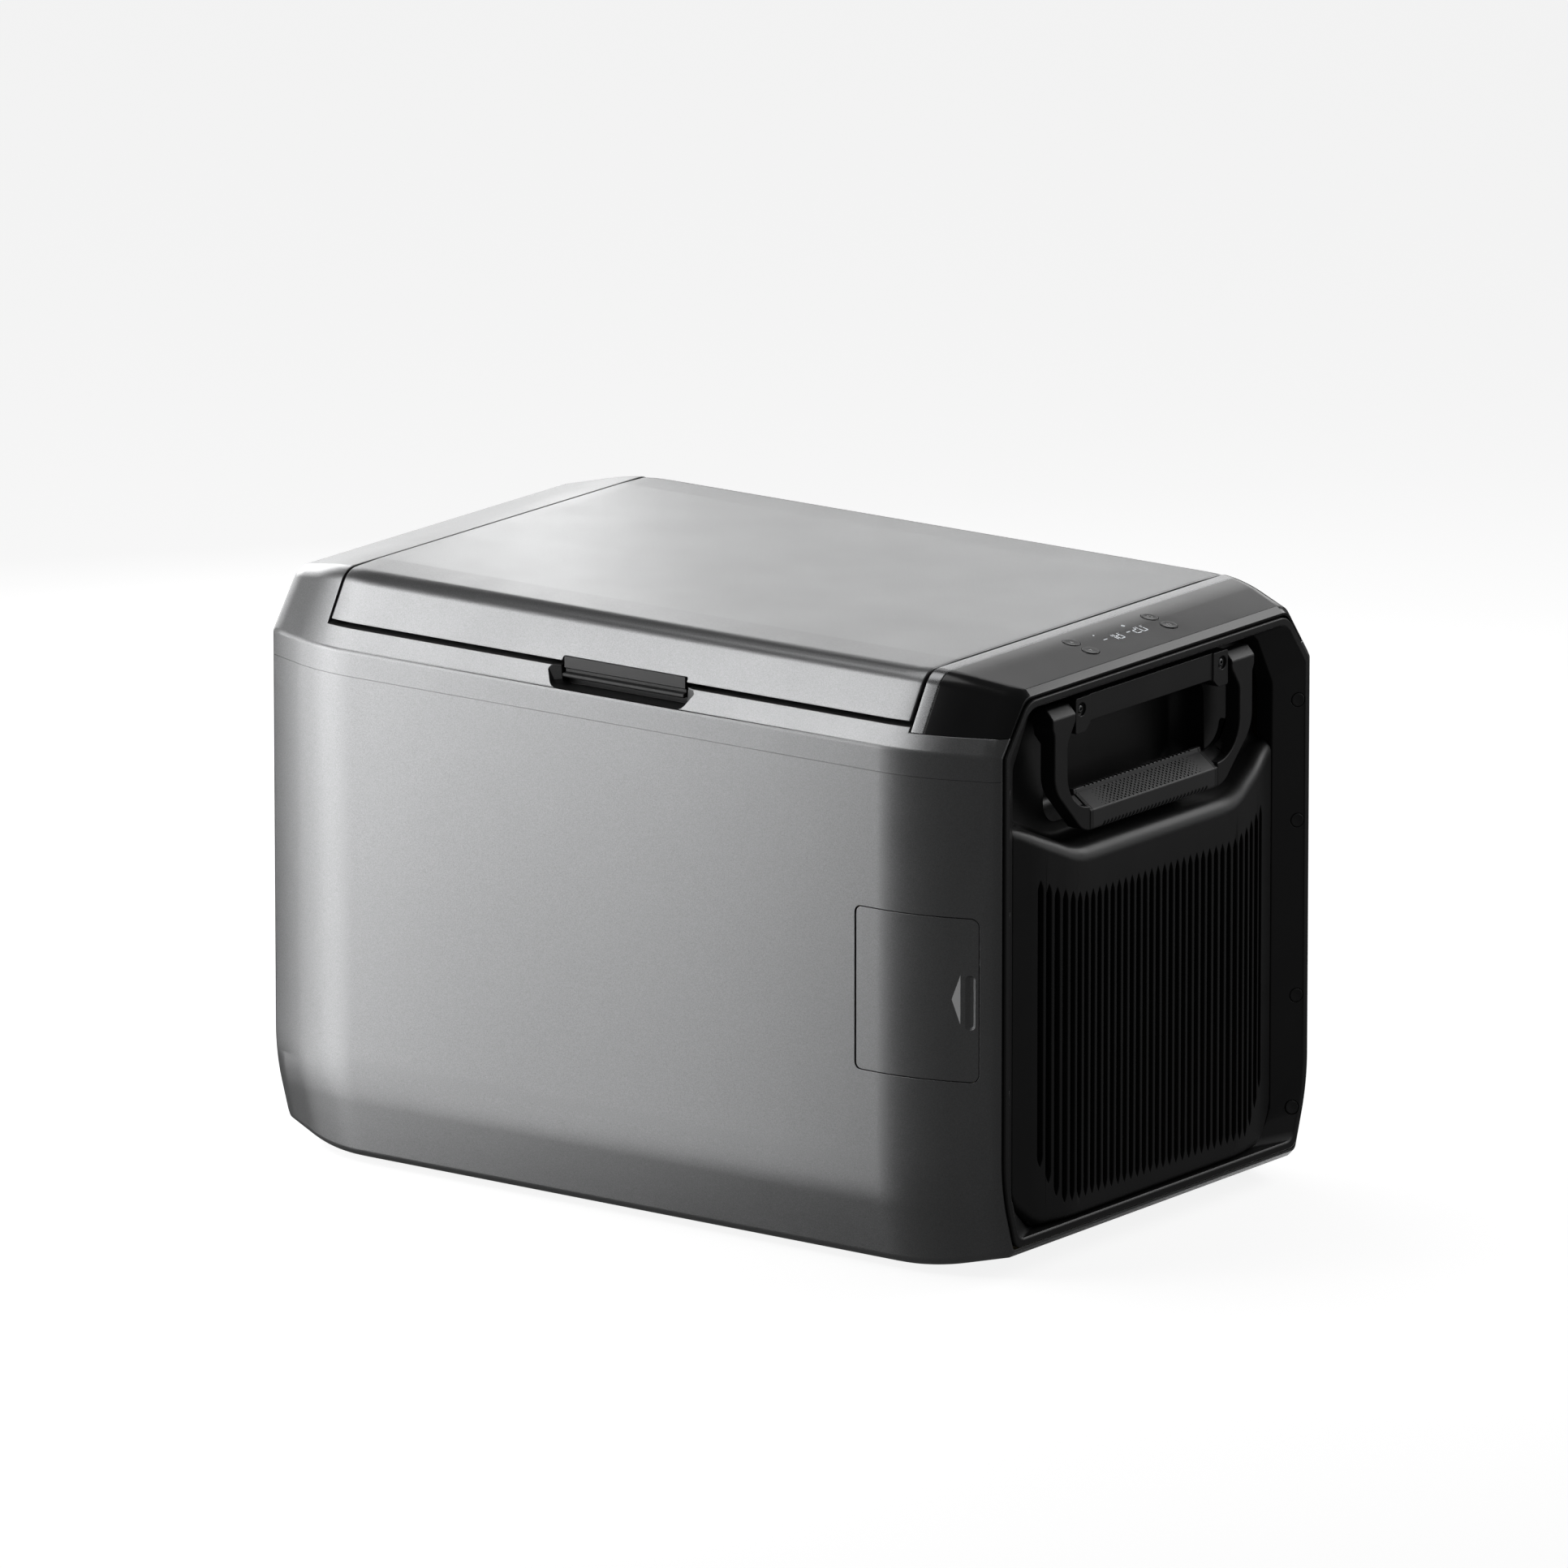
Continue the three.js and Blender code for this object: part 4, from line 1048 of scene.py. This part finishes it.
def handle(side):
    inner = HALF_SPAN - ARM
    half = [
        (133, 7), (133, -7), (HALF_SPAN, -13), (HALF_SPAN, LOW + 40), (HALF_SPAN - 38.5, LOW),
    ]
    hollow = [(inner, LOW + BAR), (inner, -22), (103, -6), (103, 7)]
    outline = half[::-1] + hollow[::-1]
    radii = [24, 28, 8, 6, 1.5, 1.5, 6, 14, 30]
    full = [Vector(p) for p in outline][::-1] + [Vector((-x, z)) for x, z in outline]
    radii = radii[::-1] + radii
    # The outline runs round the whole bow, so its two halves meet at the bar.
    obj = prism("x", rounded(full, radii, 10), -DEPTH / 2, DEPTH / 2)
    behind = [(-FRONT - 1, -13), (-4, -21), (-4, LOW - 1), (-FRONT - 1, LOW - 1)]
    for y in (-1, 1):
        cut(obj, prism("y", behind, *sorted((y * (GRIP + 2), y * 140))))
    join(obj, swept_bar(inner))
    wedge = [(DEPTH / 2 - 8, 8.5), (DEPTH / 2 + 1, -1.5), (DEPTH / 2 + 1, 8.5)]
    cut(obj, prism("y", wedge, -140, 140))
    cut(obj, prism("y", [(-11, 8.5), (-11, 2), (-8, 2), (-2, 8.5)], -140, 140))
    core = prism("y", inset(SLEEVE_CORE, 2.6), -GRIP - 3, GRIP + 3)
    room = cut(box(-30, 30, -GRIP, GRIP, LOW - 9, LOW + BAR + 15), core)
    cut(obj, room, rod(3.4, (0, -HALF_SPAN + 0.5, 0), (0, HALF_SPAN - 0.5, 0)))
    soften(obj, 1.1, 4)
    at_pivot(obj, side)
    return finish(obj, side + "_handle.fine", "black", side + "_handle", side + "_handle")


def grip(side):
    """The rubber sleeve: a sloping dotted top, a ribbed back edge and a ribbed lower front edge."""
    ends = [(-GRIP + 0.15, 0.4), (-GRIP + 0.6, 0), (-GRIP + 1.5, 0), (-GRIP + 1.8, 0.35), (-GRIP + 2.1, 0),
            (-GRIP + 3.2, 0), (-GRIP + 3.5, 0.35), (-GRIP + 3.8, 0)]
    stops = ends + [(-y, d) for y, d in ends[::-1]]
    obj = loft([at_y(rounded(inset(SLEEVE, d), SLEEVE_RADII, 6), y) for y, d in stops])
    cut(obj, prism("y", inset(SLEEVE_CORE, 2.3), -GRIP - 5, GRIP + 5))
    front, crest = SLEEVE[1], SLEEVE[2]
    along = (crest - front).normalized()
    axis = Vector((along.y, 0, -along.x))
    tools = []
    rows, pitch, first, reach = 9, 5.2, 2.0, 70
    spacing = ((crest - front).length - first - 1.6) / (rows - 1)
    for row in range(rows):
        spot = front + along * (first + row * spacing)
        for column in range(-14, 15):
            y = (column + 0.5 * (row % 2)) * pitch
            size = 1.05 * min(1, max(0, (reach - abs(y)) / 22)) ** 0.6
            if size > 0.3:
                profile = [(size * 0.75, -0.7), (size, 0.3)]
                tools.append(placed(lathe(profile, 10), (spot.x, y, spot.y), axis))
    for k in range(-13, 14):
        y = k * 5.3
        tools.append(box(-11.5, -5, y - 1.1, y + 1.1, LOW + 28.7, LOW + 31))
    for k in range(-14, 15):
        y = k * 4.8
        low_end, high_end = (FRONT - 3.5, y - 3, LOW - 1.2), (FRONT + 0.7, y + 2.6, LOW + 3.4)
        tools.append(rod(1.2, low_end, high_end, 10))
    cut(obj, merged(tools))
    at_pivot(obj, side)
    return finish(obj, side + "_grip.fine", "grip", side + "_handle", side + "_grip", sharp=32)


def handle_bracket(side):
    """A plate over the pivots, with a rod that the handle's bores run on and two counterbored screw holes."""
    face = 8
    reach = BAY_X + GAP - PIVOT_X
    low, bottom, top = -18, -11, 10
    half, corners = [(100.5, top), (100.5, low), (88, low), (80, bottom)], [2, 2, 4, 8]
    outline = [(-y, z) for y, z in half] + half[::-1]
    obj = prism("x", rounded(outline, corners + corners[::-1], 6), reach, face)
    cut(obj, box(reach - 1, -9, -78, 78, low - 1, top + 1))
    cut(obj, box(face - 1.4, face + 1, -81, 81, low - 1, top + 1))
    join(obj, rod(3, (0, -HALF_SPAN + 1, 0), (0, HALF_SPAN - 1, 0)))
    for y in (-92.7, 92.7):
        cut(obj, rod(3.6, (-5.9, y, 0.5), (12, y, 0.5)), rod(5.2, (face - 2.2, y, 0.5), (12, y, 0.5), 40))
    soften(obj, 0.6, 3)
    at_pivot(obj, side)
    return finish(obj, side + "_handle_bracket.fine", "black", "body", side + "_handle_bracket")


def bracket_screw(node):
    """A round-headed screw with a hexagonal socket."""
    place = middle(node)
    side = math.copysign(1, place.x)
    head = lathe([(3.3, -6.4), (3.3, 5.0), (3.05, 5.6), (2.4, 6.1), (1.8, 6.3)], 40)
    cut(head, placed(lathe([(1.45, -1.2), (1.45, 3)], 6), (0, 0, 5.4)))
    return fine(placed(head, place, (side, 0, 0)), node, "steel", width=0.15)


# ------------------------------------------------------------------ battery door and bay


DOOR_PIN = (241.5, -226.2)  # the hinge's x and y


def battery_door():
    """The painted door: cut from the body's wall, with a finger slot, two knuckles and an arrow."""
    low, high = DOOR_LOW.z - 8, DOOR_HIGH.z + 8
    wall = shell(lambda x, d: half_path(x, d, low, high), DOOR_LOW.x - 4, DOOR_HIGH.x + 4)
    wall.data.transform(Matrix.Diagonal((1, -1, 1, 1)))
    wall.data.flip_normals()
    obj = common(wall, prism("y", door_outline(), -FAR, -150))
    slot_x, slot_z, slot_half = 328.2, 222.4, 21.6
    skin_y = -HALF_WIDTH + taper(SIDE_TAPER, HALF_LENGTH - slot_x)
    lean = math.tan(SIDE_TAPER[2])
    rings = []
    for depth, half in ((-6, 3.7), (-0.2, 3.7), (0.3, 3.3), (1.4, 2.6), (2.1, 1.6)):
        ends = slot_half - 3.7 + half
        pill = rounded(rectangle(slot_x - half, slot_x + half, slot_z - ends, slot_z + ends), half - 0.05, 8)
        rings.append([(p.x, skin_y + (p.x - slot_x) * lean + depth, p.y) for p in pill])
    cut(obj, loft(rings))
    for z0, z1 in ((168, 188), (254, 274)):
        join(obj, rod(4, (*DOOR_PIN, z0), (*DOOR_PIN, z1)))
    cut(obj, rod(2.4, (*DOOR_PIN, 150), (*DOOR_PIN, 300)))
    fine(obj, "battery_door", "paint", "battery_door", width=0.4, segments=3)
    arrow = [Vector((314.7, 224.3)), Vector((321.1, 205)), Vector((321.1, 243.7))]
    rings = []
    for lift in (-0.1, 0.12):
        ring = []
        for p in arrow:
            y = -HALF_WIDTH + taper(SIDE_TAPER, HALF_LENGTH - p.x)
            ring.append((p.x + lift * math.sin(SIDE_TAPER[2]), y - lift, p.y))
        rings.append(ring)
    finish(loft(rings), "battery_door_arrow", "print", "battery_door")


def battery_bay():
    low, high = edges("battery_bay")
    left, front, back, wall = 245, -206, high.y, 2.5
    obj = box(left, high.x, front, back, low.z, high.z)
    room = rounded(rectangle(left + wall, high.x - wall, low.z + wall, high.z - wall), 5, 6)
    cut(obj, prism("y", room, front - 5, back - wall))
    x, y = DOOR_PIN
    for z0, z1 in ((low.z, low.z + 4), (high.z - 4, high.z)):
        arm = [(x - 1.8, y + 4.5), (x + 0.2, y - 1.8), (x + 6, y - 1.8), (256, front + 1), (left, front + 6)]
        join(obj, cut(prism("z", arm, z0, z1), rod(2.35, (x, y, z0 - 1), (x, y, z1 + 1))))
    return fine(obj, "battery_bay", "black", width=0.3)


def battery_pack():
    """The plug-in pack's end: a rounded case with a finger pull and two grooves."""
    low, high = edges("battery_pack")
    outline = rectangle(low.x, high.x, low.z, high.z)
    rings = [at_y(rounded(inset(outline, d), 6 - d, 8), low.y + y) for y, d in ((0, 2), (0.6, 0.6), (2, 0))]
    rings.append(at_y(rounded(outline, 6, 8), high.y))
    obj = loft(rings)
    cut(obj, box(low.x + 16, high.x - 16, low.y - 1, low.y + 9, high.z - 27, high.z - 9))
    for z in (low.z + 30, low.z + 34):
        cut(obj, box(low.x + 8, high.x - 8, low.y - 1, low.y + 0.8, z, z + 1.6))
    return fine(obj, "battery_pack", "case", width=0.6, segments=3)


def inlet_panel():
    """The rear power inlet: a plate with two round sockets, each with a collar and pins."""
    low, high = edges("inlet_panel")
    z = (low.z + high.z) / 2
    obj = box(low.x, high.x, low.y, high.y, low.z, high.z)
    for x in (low.x + 17.4, high.x - 17.4):
        collar = rod(11.5, (x, high.y - 1, z), (x, high.y + 2.4, z), 48)
        join(obj, collar)
        cut(obj, rod(9, (x, 212, z), (x, 240, z), 48))
        for side in (-3, 3):
            join(obj, rod(1.2, (x + side, 211, z), (x + side, high.y - 1, z), 20))
    return fine(obj, "inlet_panel", "black", width=0.4)


# ------------------------------------------------------------------ tub and feet


def liner():
    """The inner tub: a thin wall with a rounded floor."""
    low, high = edges("liner")
    fillet = 18

    def side(grow, floor):
        rings = [at_z(cavity_outline(grow), high.z)]
        for k in range(9):
            turn = QUARTER * k / 8
            shrink = fillet * (1 - math.cos(turn))
            rings.append(at_z(cavity_outline(grow - shrink), floor + fillet * (1 - math.sin(turn))))
        return rings

    outer = loft(side(TUB_WALL, low.z))
    inner = side(0, low.z + TUB_WALL)
    inner.insert(0, at_z(cavity_outline(0), high.z + 5))
    obj = cut(outer, loft(inner))
    return fine(obj, "liner", "liner", width=0.4)


def divider():
    """The removable wall: a plate with rounded edges, a finger hole and upright ribs."""
    low, high = edges("divider")
    outline = rounded(rectangle(low.y, high.y, low.z, high.z), [18, 18, 10, 10], 6)
    obj = prism("x", outline, low.x, high.x)
    cut(obj, prism("x", rounded(rectangle(-45, 45, 365, 388), 11, 8), low.x - 5, high.x + 5))
    grooves = []
    for k in range(-7, 8):
        for x in (low.x, high.x):
            grooves.append(box(x - 1, x + 1, k * 22 - 4, k * 22 + 4, low.z + 30, 345))
    cut(obj, merged(grooves))
    return fine(obj, "divider", "liner", width=0.8)


def foot(node):
    place = middle(node)
    height = edges(node)[1].z
    profile = [(9, 0.6), (10, 0), (14.2, 0), (15, 0.5), (15.6, 2.4), (17.6, height - 0.6), (18, height)]
    return fine(placed(lathe(profile, 64), (place.x, place.y, 0)), node, "rubber", width=0)


# ------------------------------------------------------------------ stage, light and camera


def stage():
    """A pale floor that only the camera sees, so it doesn't wash out the box's dark parts."""
    size = 30000
    floor = make([(-size, -size, 0), (size, -size, 0), (size, size, 0), (-size, size, 0)], [(0, 1, 2, 3)])
    floor.name = "floor"
    floor.visible_diffuse = floor.visible_glossy = floor.visible_shadow = False
    g = Graph("floor")
    g.set("Base Color", g.tint((0.35, 0.35, 0.35), g.spread(g.noise(3000), 0.98, 1.02)))
    g.set("Roughness", 0.9)
    g.set("Specular IOR Level", 0.0)
    g.set("Emission Color", (1, 1, 1, 1))
    g.set("Emission Strength", 0.86)
    floor.data.materials.append(g.material)


def world():
    made = bpy.data.worlds.new("studio")
    made.use_nodes = True
    back = made.node_tree.nodes["Background"]
    back.inputs["Color"].default_value = (1, 1, 1, 1)
    back.inputs["Strength"].default_value = 0.08
    scene.world = made


LIGHT_AIM = (0, 0, 0.28)
# Each light's place and size in metres, and its power in watts. Most of the powers were first solved by
# least squares against the photo's tones, then rounded; some were changed later.
LIGHTS = {
    "front_left_far": ((-1.6, -2.2, 0.5), (0.6, 1.6), 10.0),
    "left_far": ((-2.6, -0.9, 0.5), (0.6, 1.6), 6.0),
    "left_middle": ((-2.2, -1.6, 0.3), (0.4, 1.2), 6.0),
    "left_near": ((-0.93, -0.55, 0.15), (0.5, 0.7), 1.5),
    "front_left_near": ((-0.75, -0.77, 0.15), (0.3, 0.7), 1.0),
    "front_near": ((-0.42, -0.92, 0.15), (0.3, 0.7), 0.6),
    "low_front_left": ((-0.85, -1.0, -0.5), (0.8, 0.4), 1.5),
    "low_left": ((-1.4, -0.7, -0.5), (0.8, 0.4), 1.2),
    "low_rear": ((0.0, 1.4, -0.6), (0.8, 0.4), 1.5),
    "high_front_left": ((-1.0, -1.1, 1.2), (0.9, 0.4), 2.0),
    "high_front": ((-0.6, -1.3, 1.4), (0.8, 0.4), 4.0),
    "high_left": ((-0.95, -0.6, 0.95), (0.5, 0.3), 1.5),
    "overhead": ((-0.3, -0.3, 1.8), (0.8, 0.8), 3.0),
    "rear_left": ((-0.66, 1.36, 0.91), (1.2, 0.5), 3.0),
    "rear_left_far": ((-1.5, 1.2, 0.75), (0.7, 0.9), 3.0),
    "left_rear": ((-1.5, 0.6, 0.9), (0.7, 0.6), 5.0),
    "left_rear_low": ((-1.6, 0.3, 0.6), (0.6, 0.8), 3.5),
    "high_rear": ((-0.5, 0.9, 1.4), (0.8, 0.6), 1.0),
    "high_rear_right": ((0.8, 1.6, 1.3), (1.4, 0.7), 10.0),
    "right": ((1.4, 0.9, 0.7), (0.8, 0.8), 2.5),
}


def softbox(name, place, size, power):
    """A rectangular light aimed at the box, which the camera doesn't see."""
    light = bpy.data.lights.new(name, "AREA")
    light.shape = "RECTANGLE"
    light.size, light.size_y = size
    light.energy = power
    obj = bpy.data.objects.new(name, light)
    obj.location = place
    obj.rotation_euler = (Vector(LIGHT_AIM) - Vector(place)).to_track_quat("-Z", "Y").to_euler()
    obj.visible_camera = False
    scene.collection.objects.link(obj)


def camera():
    """A long lens from the front right, a little above the box."""
    azimuth, elevation = math.radians(36.425), math.radians(14.162)
    distance, focal, sensor = 15.76, 469.9, 36
    aim = Vector((72.6, -106.5, 333.9)) * MM
    level = math.cos(elevation)
    back = Vector((math.sin(azimuth) * level, -math.cos(azimuth) * level, math.sin(elevation)))
    lens = bpy.data.cameras.new("camera")
    lens.lens, lens.sensor_width = focal, sensor
    lens.clip_start, lens.clip_end = 1, 200
    obj = bpy.data.objects.new("camera", lens)
    obj.location = aim + back * distance
    obj.rotation_euler = (QUARTER - elevation, 0, azimuth)
    scene.collection.objects.link(obj)
    scene.camera = obj


# ------------------------------------------------------------------ the whole box

lower_shell()
upper_rim()
liner()
divider()
for node in ("foot_front_left", "foot_front_right", "foot_rear_left", "foot_rear_right"):
    foot(node)
lid_cover()
lid_liner()
lid_gasket()
latch()
for side in ("left", "right"):
    hinge(side)
    end_frame(side)
    end_panel(side)
    handle_bracket(side)
    handle(side)
    grip(side)
    for end in ("front", "rear"):
        bracket_screw("%s_bracket_screw_%s" % (side, end))
for node in plug_nodes():
    screw_plug(node)
deck_trim()
control_panel()
controls()
battery_door()
battery_bay()
battery_pack()
inlet_panel()

for node, look in {
    "insulation": "foam", "lid_foam": "foam", "evaporator": "sheet", "compressor": "enamel",
    "condenser": "coil", "fan_shroud": "case", "fan_rotor": "case", "power_board": "board",
    "display_module": "board", "door_pin": "steel",
}.items():
    carry(node, look)

stage()
world()
for name, light in LIGHTS.items():
    softbox(name, *light)
camera()
scene.view_settings.view_transform = "Standard"
